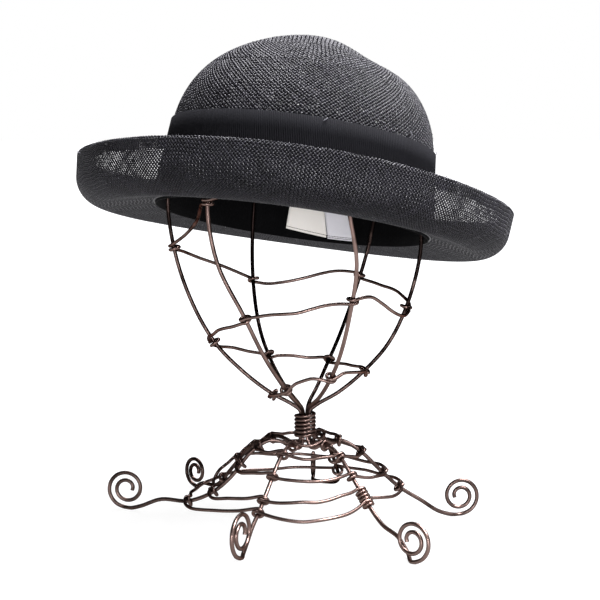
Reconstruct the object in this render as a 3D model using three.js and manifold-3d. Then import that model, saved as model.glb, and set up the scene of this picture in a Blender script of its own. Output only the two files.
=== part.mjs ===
// A straw bowler hat with a rolled brim, set askew on a stand of bent wire.
//
// Millimetres, +Z up, the hat's front towards -Y. The origin lies on the floor under the middle of the whole.
// The hat is made in a frame of its own, with its headline (where crown and brim meet) at z = 0, and its
// group is then set down tilted on the stand.

import * as THREE from 'three';
import { mergeVertices } from 'three/addons/utils/BufferGeometryUtils.js';
import loadManifold from 'manifold-3d';

const RAD = Math.PI / 180;
const FIT_GAP = 0.3; // clearance between pieces that lie on each other
const AROUND = 36; // facets around the hat

// The hat's seat on the stand
const HAT_SEAT = new THREE.Vector3(-1.9, -3.85, 184.2);
const HAT_TIPS_BACK = 10.2; // degrees, front edge up
const HAT_TIPS_RIGHT = 7.9; // degrees, +X side down
const HAT_TURN = new THREE.Euler(-HAT_TIPS_BACK * RAD, HAT_TIPS_RIGHT * RAD, 0);

// Crown: a tapered wall under an elliptical dome
const HEAD_HALF_WIDTH = 84;
const HEAD_HALF_LENGTH = 104;
const OVAL = HEAD_HALF_LENGTH / HEAD_HALF_WIDTH;
const STRAW = 1.2; // thickness of the straw cloth
const CROWN_BOTTOM = -1.0;
const DOME_FOOT = 40; // height where the wall turns into the dome
const DOME_HALF_WIDTH = 79.7;
const DOME_RISE = 71;
const DOME_FULLNESS = 2.15; // 2 is an ellipse, more is boxier
const DOME_RINGS = 9;
const DENT_FADE = DOME_RISE / 2; // the dents come in over this height above the dome's foot

// Soft dents pressed into the dome, each a bell with its own reach sideways and front to back
const DENTS = [
  { place: 'top right pinch', x: 34, y: 0, reachX: 18, reachY: 62, depth: 5.2 },
  { place: 'top left flat', x: -38, y: 0, reachX: 22, reachY: 60, depth: 1.6 },
  { place: 'fold left of the front', x: -16, y: -58, reachX: 15, reachY: 20, depth: 1.8 },
];

// Brim: a flat ring that droops from the headline and then rolls up. At each quarter: its width along the
// cloth, the degrees and width of the drooping part, the radius of the roll and the slope in degrees of
// the wall that is left standing above it
const BRIM = {
  left: { width: 68.5, droop: 13.5, flat: 28, radius: 16, wall: 84 },
  right: { width: 66.5, droop: 13.5, flat: 26.5, radius: 16, wall: 84 },
  front: { width: 68.5, droop: 11, flat: 22, radius: 20, wall: 92 },
  back: { width: 68.5, droop: 7, flat: 23, radius: 20, wall: 88 },
};
const HEM_WIDTH = 8;
const BRIM_STEPS = 8;

// Ribbon round the crown, cloth band inside it
const RIBBON = { bottom: 4.5, top: 50, thickness: 1.0, rings: 2 };
const SWEATBAND = { bottom: -0.8, top: 32, thickness: 1.0, rings: 1 };

// Two bare labels sewn to the back of the sweatband, x measured along the band
const LABEL_THICKNESS = 1.0;
const LABEL_GAP = 2 * FIT_GAP; // clear of the flats of the band behind it
const LABEL_FACETS = { across: 4, through: 1, up: 2 };
const LABELS = [
  { name: 'wide_label', x: 8, width: 27, bottom: 3.5, top: 29, tilt: 6 },
  { name: 'narrow_label', x: 30.3, width: 17, bottom: 1.5, top: 28, tilt: 1 },
];

// Stand of bent wire
const STAND_AXIS = new THREE.Vector3(6.0, 0.15, 0);
const WIRE = 1.25; // radius of the six main wires
const TIE_WIRE = 1.05; // radius of the wires wound round them
const WIRE_SIDES = 5;
const FOOT_HEIGHT = 0.85; // of the wire's middle, so that the floor cuts a flat on each foot
const CAGE_LEAN = -0.046; // sideways shift of the cage for each mm of height
const RING_HEIGHT = 66; // the top ring, in the hat's frame

// Each main wire is a rib of the cage, a strand of the neck and a leg that ends in a scroll.
// Angles are in degrees about the stand's axis, from +X: of the rib at the hat and low down, of the leg, of
// its foot and of the scroll's plane. The scroll meets the floor at its reach. The strands lie evenly round.
const WIRE_TABLE = [
  { name: 'right', rib: 0, low: 0, leg: 0, foot: 7, reach: 97, scroll: 8, size: 11.9 },
  { name: 'back_right', rib: 46, low: 69, leg: 66, foot: 87, reach: 109, scroll: 86, size: 10 },
  { name: 'back_left', rib: 109.2, low: 124, leg: 145, foot: 129, reach: 115, scroll: 134, size: 10 },
  { name: 'left', rib: 180, low: 180, leg: 180, foot: 165.5, reach: 116, scroll: 172, size: 12.4 },
  { name: 'front_left', rib: 230.7, low: 250.5, leg: 242, foot: 248.4, reach: 98, scroll: 246, size: 14 },
  { name: 'front_right', rib: 293.5, low: 295.5, leg: 311, foot: 301, reach: 116, scroll: 322, size: 12.2 },
];
const MAIN_WIRES = WIRE_TABLE.map((row, place) => ({ ...row, neck: (place * 360) / WIRE_TABLE.length }));
const [RIGHT, BACK_RIGHT, BACK_LEFT, LEFT, FRONT_LEFT, FRONT_RIGHT] = MAIN_WIRES.keys();

// Neck: six strands side by side in a close coil
const NECK = { bottom: 51, top: 68, radius: 2 * WIRE + FIT_GAP };
const COIL_PITCH = 2 * TIE_WIRE + FIT_GAP;
const COIL_STEPS = 10;

// Cage profile from the neck up to the hat
const CAGE_PROFILE = [
  { height: 72, radius: 7 },
  { height: 80, radius: 21 },
  { height: 93, radius: 37 },
  { height: 110, radius: 52.5 },
  { height: 134, radius: 65 },
  { height: 165, radius: 74 },
  { height: 200, radius: 76.5 },
];

// Ribs that are bent aside: by how many degrees about the axis, and at what height
const RIB_BENDS = {
  front_left: { aside: -4.7, height: 170 },
  front_right: { aside: 3.2, height: 158 },
};
const RIB_BEND_REACH = 26;

// Leg profile from the neck out to where the spiral of the skirt ends
const SKIRT_EDGE = 72;
const LEG_PROFILE = [
  { radius: 3.2, height: 50 },
  { radius: 5.2, height: 47.2 },
  { radius: 9.5, height: 46.8 },
  { radius: 15, height: 49.4 },
  { radius: 22, height: 50 },
  { radius: 33, height: 44 },
  { radius: 46, height: 31.5 },
  { radius: 58, height: 20.5 },
  { radius: SKIRT_EDGE, height: 11.5 },
];
const LEG_SPREAD = 15; // radius where a leg has swung from its strand to its own angle
const LEG_SWING = 3; // power of the swing on to the foot's angle, so that most of it comes late
const FOOT_SHARES = [0.4, 0.75]; // where a leg's end is bent on its way down to the floor

// Legs that leave the common profile: how far they sag at the middle of the skirt, and how far their ends are
// bent up again, less and less towards the foot
const LEG_BENDS = {
  left: { sag: 5.5, hump: 10 },
  back_left: { sag: -6, hump: 8 },
  front_right: { sag: 0, hump: 6 },
};
const EVEN_LEG = { sag: 0, hump: 0 };
const SAG = { radius: 50, reach: 14 };

const SCROLL_TURNS = 1.8;
const SCROLL_EYE = 0.3; // inner end of the scroll, as a share of its size
const SCROLL_STEP = 36;

// The wire wound down the cage, one turn round each rib that it meets. The span that leads to a turn may have
// its three points bent up or down, and may be drawn in towards the axis by a share of its radius
const EVEN_SPAN = [0, 0, 0];
const CAGE_TIES = [
  { wire: FRONT_LEFT, height: 200 },
  { wire: LEFT, height: 168.5, drawnIn: 0.14 },
  { wire: BACK_LEFT, height: 142.5, lifts: [3, 3.5, 2] },
  { wire: BACK_RIGHT, height: 145, lifts: [-2.7, 0, 1.8] },
  { wire: RIGHT, height: 132 },
  { wire: FRONT_RIGHT, height: 144, lifts: [-2, -5.4, 0] },
  { wire: FRONT_LEFT, height: 132.5, lifts: [1.6, 0.5, 0.5] },
  { wire: LEFT, height: 111 },
  { wire: BACK_LEFT, height: 98 },
  { wire: BACK_RIGHT, height: 95, lifts: [1, 0, 0] },
  { wire: RIGHT, height: 93 },
  { wire: FRONT_RIGHT, height: 95, lifts: [3.6, 3, 3.5] },
  { wire: FRONT_LEFT, height: 86, lifts: [3.5, 4.5, 3.5] },
  { wire: LEFT, height: 78.5 },
];
const CAGE_TAIL = [{ back: 22, rise: 9 }, { back: 10, rise: 4 }]; // the end above the first turn, in the hat

// The wire wound out over the legs, a row for each time round: the radius of its turn round each leg
const SKIRT_TURNS = [
  { front_left: 16, front_right: 18, right: 20.5, back_right: 22.5, back_left: 25, left: 27.5 },
  { front_left: 29, front_right: 32.5, right: 34, back_right: 36, back_left: 38, left: 39 },
  { front_left: 42, front_right: 43, right: 47.5, back_right: 49, back_left: 52, left: 56 },
  { front_left: 54.5, front_right: 53, right: 57.5, back_right: 61, back_left: 66, left: 71.5 },
  { front_left: 62, front_right: 58 },
];
const SKIRT_SLACK = { lifts: [-1.5, -1.5], drawnIn: -0.05 }; // every span hangs out and down a little
const SKIRT_END = { lifts: [-4, -4], drawnIn: -0.11 }; // and the last one more

// One turn of a tie: its steps and their degrees, its radius, and how far it climbs so that its ends pass
const TIE_STEPS = 8;
const TIE_STEP = 55;
const TIE_REACH = WIRE + TIE_WIRE + 2 * FIT_GAP;
const TIE_CLIMB = 1.2 * COIL_PITCH;

const straw = new THREE.MeshStandardMaterial({ color: 0x35353a, roughness: 0.55 });
const ribbon = new THREE.MeshStandardMaterial({ color: 0x1d1d21, roughness: 0.8 });
const lining = new THREE.MeshStandardMaterial({ color: 0x0e0e10, roughness: 0.6 });
const cream = new THREE.MeshStandardMaterial({ color: 0xf0e8d7, roughness: 0.9 });
const white = new THREE.MeshStandardMaterial({ color: 0xe4e2ea, roughness: 0.8 });
const bronze = new THREE.MeshStandardMaterial({ color: 0x6b4f42, roughness: 0.35, metalness: 1.0 });

const lerp = THREE.MathUtils.lerp;
const bell = (away) => Math.exp(-away * away);

// A point at an angle about the vertical axis
function polar(radius, angle, height) {
  return new THREE.Vector3(radius * Math.cos(angle), radius * Math.sin(angle), height);
}

// Moves every vertex of a geometry through a function of its position
function reshape(geometry, move) {
  const places = geometry.attributes.position;
  const vertex = new THREE.Vector3();
  for (let i = 0; i < places.count; i += 1) {
    const moved = move(vertex.fromBufferAttribute(places, i));
    places.setXYZ(i, moved.x, moved.y, moved.z);
  }
  geometry.computeVertexNormals();
  return geometry;
}

// Turns a closed profile of [radius, height] pairs about the vertical axis
function turned(profile) {
  const points = profile.map(([radius, height]) => new THREE.Vector2(radius, height));
  return new THREE.LatheGeometry(points, AROUND).rotateX(Math.PI / 2);
}

// Stretches a round form front to back into the hat's oval
function oval(vertex) {
  return new THREE.Vector3(vertex.x, vertex.y * OVAL, vertex.z);
}

// Half the width of the crown's outer face at a height
function crownHalfWidth(height) {
  if (height < DOME_FOOT) return lerp(HEAD_HALF_WIDTH, DOME_HALF_WIDTH, height / DOME_FOOT);
  const rise = (height - DOME_FOOT) / DOME_RISE;
  return DOME_HALF_WIDTH * (1 - rise ** DOME_FULLNESS) ** (1 / DOME_FULLNESS);
}

// Presses the dents into a point of the dome
function dented(vertex) {
  const above = vertex.z - DOME_FOOT;
  if (above <= 0) return vertex;
  const inward = new THREE.Vector3(-vertex.x, -vertex.y, -above).normalize();
  let depth = 0;
  for (const dent of DENTS) {
    const away = Math.hypot((vertex.x - dent.x) / dent.reachX, (vertex.y - dent.y) / dent.reachY);
    depth += dent.depth * bell(away);
  }
  return vertex.clone().addScaledVector(inward, depth * Math.min(1, above / DENT_FADE));
}

// One face of the crown's wall, from the top of the dome down, set in from the outer face
function crownFace(inset) {
  const face = [];
  for (let ring = 0; ring <= DOME_RINGS; ring += 1) {
    const turn = (ring / DOME_RINGS) * (Math.PI / 2);
    const radius = (DOME_HALF_WIDTH - inset) * Math.sin(turn) ** (2 / DOME_FULLNESS);
    face.push([radius, DOME_FOOT + (DOME_RISE - inset) * Math.cos(turn) ** (2 / DOME_FULLNESS)]);
  }
  face.push([crownHalfWidth(CROWN_BOTTOM) - inset, CROWN_BOTTOM]);
  return face;
}

function crown() {
  const wall = [...crownFace(0), ...crownFace(STRAW).reverse()];
  const geometry = reshape(turned(wall.reverse()), (vertex) => dented(oval(vertex)));
  return named('crown', geometry, straw);
}

// The brim's section at an angle about the hat, between the quarters
function brimSection(angle) {
  const ahead = Math.sin(angle);
  const side = Math.cos(angle) < 0 ? BRIM.left : BRIM.right;
  const end = ahead < 0 ? BRIM.front : BRIM.back;
  const between = (column) => lerp(side[column], end[column], ahead * ahead);
  return {
    width: between('width'),
    droop: between('droop') * RAD,
    flat: between('flat'),
    radius: between('radius'),
    wall: between('wall') * RAD,
  };
}

// A point of the brim: so far out along the cloth, as a share of its width, and so far above its under face
function brimPoint(angle, share, above) {
  const { width, droop, flat, radius, wall } = brimSection(angle);
  const along = share * width;
  const straight = Math.min(along, flat);
  const slope = Math.min(Math.max(0, along - flat) / radius - droop, wall);
  const upright = Math.max(0, along - flat - radius * (wall + droop));
  const rolled = radius * (Math.sin(slope) + Math.sin(droop));
  const raised = radius * (Math.cos(droop) - Math.cos(slope));
  const out = straight * Math.cos(droop) + rolled + upright * Math.cos(wall) - above * Math.sin(slope);
  const up = raised - straight * Math.sin(droop) + upright * Math.sin(wall) + above * Math.cos(slope);
  const x = (HEAD_HALF_WIDTH + FIT_GAP + out) * Math.cos(angle);
  const y = (HEAD_HALF_LENGTH + FIT_GAP + out) * Math.sin(angle);
  return new THREE.Vector3(x, y, up);
}

// The brim is turned as a flat ring, one unit wide outside a unit circle, and then rolled up
function brim() {
  const hemStart = 1 - HEM_WIDTH / BRIM.front.width;
  const under = [];
  const upper = [];
  for (let step = 0; step <= BRIM_STEPS; step += 1) {
    const share = (step / BRIM_STEPS) * hemStart;
    under.push([1 + share, 0]);
    upper.push([1 + share, STRAW]);
  }
  const hemMiddle = 1 + (1 + hemStart) / 2;
  const hem = [
    [hemMiddle, 0],
    [2, 0],
    [2, 2 * STRAW],
    [hemMiddle, 2 * STRAW],
    [1 + hemStart, 2 * STRAW],
  ];
  const section = [...under, ...hem, ...upper.reverse(), under[0]];
  const geometry = reshape(turned(section), (vertex) => {
    const angle = Math.atan2(vertex.y, vertex.x);
    return brimPoint(angle, Math.hypot(vertex.x, vertex.y) - 1, vertex.z);
  });
  return named('brim', geometry, straw);
}

// A band that follows the crown's wall, its near face set out from the crown's outer face
function band(name, size, offset, material) {
  const near = [];
  const far = [];
  for (let ring = 0; ring <= size.rings; ring += 1) {
    const height = lerp(size.bottom, size.top, ring / size.rings);
    near.push([crownHalfWidth(height) + offset, height]);
    far.push([crownHalfWidth(height) + offset + size.thickness, height]);
  }
  const section = [...far, ...near.reverse(), far[0]];
  return named(name, reshape(turned(section), oval), material);
}

// A label: a flat box laid on the inner face of the sweatband at the back
function label(size, material) {
  const height = size.top - size.bottom;
  const { across: columns, through, up: rows } = LABEL_FACETS;
  const box = new THREE.BoxGeometry(size.width, LABEL_THICKNESS, height, columns, through, rows);
  const inset = STRAW + FIT_GAP + SWEATBAND.thickness + LABEL_GAP + LABEL_THICKNESS / 2;
  const geometry = reshape(box, (vertex) => {
    const across = size.x + vertex.x;
    const z = vertex.z + (size.top + size.bottom) / 2 - vertex.x * Math.tan(size.tilt * RAD);
    const halfWidth = crownHalfWidth(Math.max(z, CROWN_BOTTOM)) - inset;
    const back = Math.sqrt(1 - (across / halfWidth) ** 2) * halfWidth * OVAL;
    return new THREE.Vector3(across, back + vertex.y, z);
  });
  return named(size.name, geometry, material);
}

// A route whose steps are shared out by its points, so that a tight turn gets as many as a long span
class WireRoute extends THREE.CatmullRomCurve3 {
  getUtoTmapping(share) {
    return share;
  }
}

// A round wire bent through points
function bentWire(name, points, radius, closed = false) {
  const section = new THREE.Shape();
  for (let side = 0; side < WIRE_SIDES; side += 1) {
    const turn = (side / WIRE_SIDES) * 2 * Math.PI;
    const corner = [radius * Math.cos(turn), radius * Math.sin(turn)];
    if (side === 0) section.moveTo(...corner);
    else section.lineTo(...corner);
  }
  const route = new WireRoute(points, closed);
  const steps = closed ? points.length : points.length - 1;
  const geometry = new THREE.ExtrudeGeometry(section, { steps, bevelEnabled: false, extrudePath: route });
  return named(name, geometry, bronze);
}

function named(name, geometry, material) {
  const mesh = new THREE.Mesh(geometry, material);
  mesh.name = name;
  return mesh;
}

// Reads a table whose rows rise in one column: the value of another column in between
function read(table, column, by, value) {
  const after = table.findIndex((row) => row[by] >= value);
  const row = after < 0 ? table.length - 1 : Math.max(1, after);
  const share = (value - table[row - 1][by]) / (table[row][by] - table[row - 1][by]);
  return lerp(table[row - 1][column], table[row][column], share);
}

// A point of a rib, at a height above the neck
function ribPoint(wire, height) {
  const low = CAGE_PROFILE[0].height;
  const high = CAGE_PROFILE.at(-1).height;
  const radius = read(CAGE_PROFILE, 'radius', 'height', height);
  const bend = RIB_BENDS[wire.name];
  const aside = bend ? bend.aside * bell((height - bend.height) / RIB_BEND_REACH) : 0;
  const angle = lerp(wire.low, wire.rib, (height - low) / (high - low)) + aside;
  const point = polar(radius, angle * RAD, height);
  point.x += CAGE_LEAN * (height - NECK.top);
  return point;
}

// The way a leg has turned at a radius, between its strand and its foot
function legAngle(wire, radius) {
  const heading = lerp(wire.neck, wire.leg, Math.min(1, radius / LEG_SPREAD));
  return lerp(heading, wire.foot, (radius / wire.reach) ** LEG_SWING) * RAD;
}

// A point of a leg, at a radius within the skirt
function legPoint(wire, radius) {
  const { sag } = LEG_BENDS[wire.name] ?? EVEN_LEG;
  const drop = sag * bell((radius - SAG.radius) / SAG.reach);
  return polar(radius, legAngle(wire, radius), read(LEG_PROFILE, 'height', 'radius', radius) - drop);
}

// The end of a leg: down to the floor, then up and round into a scroll
function footPoints(wire) {
  const points = [];
  const edge = LEG_PROFILE.at(-1);
  const { hump } = LEG_BENDS[wire.name] ?? EVEN_LEG;
  for (const share of FOOT_SHARES) {
    const height = lerp(edge.height, FOOT_HEIGHT, 1 - (1 - share) ** 2) + hump * (1 - share);
    const radius = lerp(edge.radius, wire.reach, share);
    points.push(polar(radius, legAngle(wire, radius), height));
  }
  const outward = polar(1, wire.scroll * RAD, 0);
  const eye = polar(wire.reach, wire.foot * RAD, FOOT_HEIGHT + wire.size);
  for (let turn = 0; turn <= SCROLL_TURNS * 360; turn += SCROLL_STEP) {
    const size = wire.size * lerp(1, SCROLL_EYE, turn / (SCROLL_TURNS * 360));
    const angle = (turn - 90) * RAD;
    const point = eye.clone().addScaledVector(outward, size * Math.cos(angle));
    point.z += size * Math.sin(angle);
    points.push(point);
  }
  return points;
}

// A point of the ring that the hat sits on, in the stand's frame
function ringPoint(angle) {
  const halfWidth = crownHalfWidth(RING_HEIGHT) - STRAW - WIRE - 2 * FIT_GAP;
  const point = dented(oval(polar(halfWidth, angle, RING_HEIGHT)));
  return point.applyEuler(HAT_TURN).add(HAT_SEAT).sub(STAND_AXIS);
}

// The whole route of a main wire, from the ring down to the scroll
function mainRoute(wire) {
  const tip = ringPoint(wire.rib * RAD);
  tip.z -= WIRE + FIT_GAP;
  const rib = CAGE_PROFILE.map(({ height }) => ribPoint(wire, height)).reverse();
  const middle = new THREE.Line3(tip, rib[0]).getCenter(new THREE.Vector3());
  const neck = [NECK.top, NECK.bottom].map((height) => polar(NECK.radius, wire.neck * RAD, height));
  const leg = LEG_PROFILE.map(({ radius }) => legPoint(wire, radius));
  return [tip, middle, ...rib, ...neck, ...leg, ...footPoints(wire)];
}

// The direction of a straight-stepped route where it passes a point
function heading(route, point) {
  let best = null;
  for (let i = 1; i < route.length; i += 1) {
    const step = new THREE.Line3(route[i - 1], route[i]);
    const near = step.closestPointToPoint(point, true, new THREE.Vector3());
    const away = near.distanceTo(point);
    if (!best || away < best.away) best = { away, along: step.delta(new THREE.Vector3()).normalize() };
  }
  return best.along;
}

// One turn of tie wire round a main wire; it comes and goes on the outer side
function tieTurn(place, along, outerHint, travelSign) {
  const outer = outerHint.clone().addScaledVector(along, -outerHint.dot(along)).normalize();
  const travel = along.clone().cross(outer).multiplyScalar(travelSign);
  const points = [];
  for (let step = 0; step <= TIE_STEPS; step += 1) {
    const angle = (TIE_STEP * (step - TIE_STEPS / 2) + 180) * RAD;
    const climb = lerp(-TIE_CLIMB / 2, TIE_CLIMB / 2, step / TIE_STEPS);
    points.push(place.clone()
      .addScaledVector(outer, TIE_REACH * Math.cos(angle))
      .addScaledVector(travel, TIE_REACH * Math.sin(angle))
      .addScaledVector(along, climb));
  }
  return points;
}

// A point part of the way round the axis between two others, moved up and in
function spanPoint(from, to, share, lift, drawnIn) {
  const start = Math.atan2(from.y, from.x);
  let sweep = Math.atan2(to.y, to.x) - start;
  if (sweep > Math.PI) sweep -= 2 * Math.PI;
  if (sweep < -Math.PI) sweep += 2 * Math.PI;
  const slack = 1 - drawnIn * Math.sin(Math.PI * share);
  const radius = lerp(Math.hypot(from.x, from.y), Math.hypot(to.x, to.y), share) * slack;
  return polar(radius, start + sweep * share, lerp(from.z, to.z, share) + lift);
}

// A tie wire: turns round main wires, each after the first at the end of a span that runs round the axis
function tieRoute([first, ...rest]) {
  const points = [...first.turn];
  for (const { turn, lifts, drawnIn } of rest) {
    const from = points.at(-1);
    const span = lifts.map((lift, i) => {
      const share = (i + 1) / (lifts.length + 1);
      return spanPoint(from, turn[0], share, lift, drawnIn);
    });
    points.push(...span, ...turn);
  }
  return points;
}

function cageSpiral(routes) {
  const turns = CAGE_TIES.map(({ wire, height, lifts = EVEN_SPAN, drawnIn = 0 }) => {
    const place = ribPoint(MAIN_WIRES[wire], height);
    const outer = new THREE.Vector3(place.x, place.y, 0);
    return { turn: tieTurn(place, heading(routes[wire], place), outer, 1), lifts, drawnIn };
  });
  const [first] = turns[0].turn;
  const tail = CAGE_TAIL.map(({ back, rise }) => {
    const end = first.clone().applyAxisAngle(new THREE.Vector3(0, 0, 1), back * RAD);
    return end.setZ(first.z + rise);
  });
  return bentWire('stand_cage_spiral', [...tail, ...tieRoute(turns)], TIE_WIRE);
}

function skirtSpiral(routes) {
  const up = new THREE.Vector3(0, 0, 1);
  const turns = SKIRT_TURNS.flatMap((row) => Object.entries(row).map(([name, radius]) => {
    const wire = MAIN_WIRES.findIndex((row) => row.name === name);
    const place = legPoint(MAIN_WIRES[wire], radius);
    return { turn: tieTurn(place, heading(routes[wire], place), up, -1), ...SKIRT_SLACK };
  }));
  Object.assign(turns.at(-1), SKIRT_END);
  return bentWire('stand_skirt_spiral', tieRoute(turns), TIE_WIRE);
}

function neckCoil() {
  const radius = NECK.radius + WIRE + TIE_WIRE + 2 * FIT_GAP;
  const bottom = NECK.bottom + TIE_WIRE;
  const turns = (NECK.top - NECK.bottom - 2 * TIE_WIRE) / COIL_PITCH;
  const steps = Math.round(turns * COIL_STEPS);
  const points = [];
  for (let step = 0; step <= steps; step += 1) {
    const turn = (step / COIL_STEPS) * 2 * Math.PI;
    points.push(polar(radius, turn, bottom + (COIL_PITCH * step) / COIL_STEPS));
  }
  return bentWire('stand_neck_coil', points, TIE_WIRE);
}

function topRing() {
  const points = [];
  for (let step = 0; step < AROUND; step += 1) points.push(ringPoint((step / AROUND) * 2 * Math.PI));
  return bentWire('stand_top_ring', points, WIRE, true);
}

const manifold = await loadManifold();
manifold.setup();
const MERGE_WITHIN = 1e-3;
const EARTH = 600; // side of the block of ground that the feet are cut by

// A closed geometry as a solid that can be cut
function asSolid(geometry) {
  const bare = geometry.clone();
  bare.deleteAttribute('normal');
  bare.deleteAttribute('uv');
  const merged = mergeVertices(bare, MERGE_WITHIN);
  const triVerts = new Uint32Array(merged.index.array);
  const vertProperties = new Float32Array(merged.attributes.position.array);
  return new manifold.Manifold(new manifold.Mesh({ numProp: 3, vertProperties, triVerts }));
}

// Cuts away what lies under the floor, which leaves each foot a small flat
function cutAtFloor(mesh) {
  const earth = new THREE.BoxGeometry(EARTH, EARTH, EARTH).translate(0, 0, -EARTH / 2);
  const { vertProperties, triVerts } = asSolid(mesh.geometry).subtract(asSolid(earth)).getMesh();
  const geometry = new THREE.BufferGeometry();
  geometry.setAttribute('position', new THREE.BufferAttribute(vertProperties, 3));
  geometry.setIndex(new THREE.BufferAttribute(triVerts, 1));
  geometry.computeVertexNormals();
  return named(mesh.name, geometry, mesh.material);
}

const hat = new THREE.Group();
hat.position.copy(HAT_SEAT);
hat.rotation.copy(HAT_TURN);
hat.add(crown(), brim());
hat.add(band('ribbon_band', RIBBON, FIT_GAP, ribbon));
hat.add(band('sweatband', SWEATBAND, -STRAW - FIT_GAP - SWEATBAND.thickness, lining));
hat.add(label(LABELS[0], cream), label(LABELS[1], white));

const stand = new THREE.Group();
stand.position.copy(STAND_AXIS);
const routes = MAIN_WIRES.map(mainRoute);
MAIN_WIRES.forEach(({ name }, wire) => {
  stand.add(cutAtFloor(bentWire(`stand_wire_${name}`, routes[wire], WIRE)));
});
stand.add(topRing(), neckCoil(), cageSpiral(routes), skirtSpiral(routes));

const hatOnStand = new THREE.Group();
hatOnStand.add(hat, stand);

export default hatOnStand;
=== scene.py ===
"""The looks of a straw bowler hat on a stand of bent wire.

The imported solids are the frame. The sizes below repeat theirs, in millimetres, so that the woven straw, the
ribbon and the round wire lie where the solids do. The hat has a frame of its own, with its headline at z = 0
and its front towards -Y, and is set down tilted on the stand.
"""

import logging
import math
from collections.abc import Mapping, Sequence
from dataclasses import dataclass
from enum import Enum
from functools import cached_property
from typing import Any, Protocol

import bpy
import numpy as np
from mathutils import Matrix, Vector


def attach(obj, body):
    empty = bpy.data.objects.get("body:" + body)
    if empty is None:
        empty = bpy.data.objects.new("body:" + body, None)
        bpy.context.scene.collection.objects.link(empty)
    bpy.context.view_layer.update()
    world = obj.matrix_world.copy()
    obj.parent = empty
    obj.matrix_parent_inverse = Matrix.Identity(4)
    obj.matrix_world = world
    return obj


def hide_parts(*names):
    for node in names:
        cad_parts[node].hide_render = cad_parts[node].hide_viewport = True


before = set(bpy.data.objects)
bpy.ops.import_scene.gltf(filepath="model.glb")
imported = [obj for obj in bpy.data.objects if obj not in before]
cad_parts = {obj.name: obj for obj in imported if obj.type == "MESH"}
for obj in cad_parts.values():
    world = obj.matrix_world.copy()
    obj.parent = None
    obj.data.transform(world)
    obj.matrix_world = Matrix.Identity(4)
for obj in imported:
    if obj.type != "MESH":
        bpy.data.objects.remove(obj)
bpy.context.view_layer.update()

LOG = logging.getLogger("bowler_hat")
MM = 0.001
BODY = "root"
BAKE_UV = "OFBake"
FIT_GAP = 0.3  # millimetres between pieces that lie on each other
RING_POINTS = 1441  # points that a ring of the weave is measured with

Array = np.ndarray
Triple = tuple[float, float, float]
Colour = tuple[float, float, float]


class Slot(Enum):
    """The record's material slots."""

    STRAW = "straw"
    RIBBON = "ribbon"
    SWEATBAND = "sweatband"
    CREAM = "cream_label"
    WHITE = "white_label"
    WIRE = "bronze_wire"


class Family(Enum):
    """The two families of strands in a plain weave."""

    WARP = 0
    WEFT = 1


class Graph:
    """A node tree that is filled from the script."""

    def __init__(self, tree: bpy.types.NodeTree) -> None:
        """Empties the tree and keeps it."""
        self.tree = tree
        self.tree.nodes.clear()

    def node(self, kind: str, settings: Mapping[str, Any] | None = None,
             sockets: Mapping[str | int, Any] | None = None) -> bpy.types.Node:
        """Adds a node.

        Args:
            kind: The node's type name.
            settings: Its properties, set before its sockets.
            sockets: A value or a link for each input, by name or by number.

        Returns:
            The new node.
        """
        made = self.tree.nodes.new(kind)
        for key, value in (settings or {}).items():
            setattr(made, key, value)
        for key, value in (sockets or {}).items():
            self.feed(made.inputs[key], value)
        return made

    def feed(self, socket: bpy.types.NodeSocket, value: Any) -> None:
        """Gives an input what it reads.

        Args:
            socket: The input.
            value: A number, colour or other plain value, or a socket or Value to link it to.
        """
        source = getattr(value, "socket", value)
        if isinstance(source, bpy.types.NodeSocket):
            self.tree.links.new(source, socket)
        else:
            socket.default_value = source


class Value:
    """A number that varies over a surface; sums of it add Math nodes."""

    def __init__(self, graph: Graph, socket: bpy.types.NodeSocket) -> None:
        """Keeps a socket of a graph."""
        self.graph = graph
        self.socket = socket

    def _math(self, operation: str, first: Any, second: Any) -> "Value":
        """The result of one Math node."""
        made = self.graph.node("ShaderNodeMath", {"operation": operation}, {0: first, 1: second})
        return Value(self.graph, made.outputs[0])

    def __add__(self, other: Any) -> "Value":
        """Adds."""
        return self._math("ADD", self, other)

    def __radd__(self, other: Any) -> "Value":
        """Adds, from the right."""
        return self._math("ADD", other, self)

    def __sub__(self, other: Any) -> "Value":
        """Takes away."""
        return self._math("SUBTRACT", self, other)

    def __rsub__(self, other: Any) -> "Value":
        """Takes away, from the right."""
        return self._math("SUBTRACT", other, self)

    def __mul__(self, other: Any) -> "Value":
        """Multiplies."""
        return self._math("MULTIPLY", self, other)

    def __rmul__(self, other: Any) -> "Value":
        """Multiplies, from the right."""
        return self._math("MULTIPLY", other, self)

    def sine(self) -> "Value":
        """The sine of it."""
        return self._math("SINE", self, 0.0)

    def clamped(self) -> "Value":
        """Kept between 0 and 1."""
        return self._math("MINIMUM", self._math("MAXIMUM", self, 0.0), 1.0)


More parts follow.
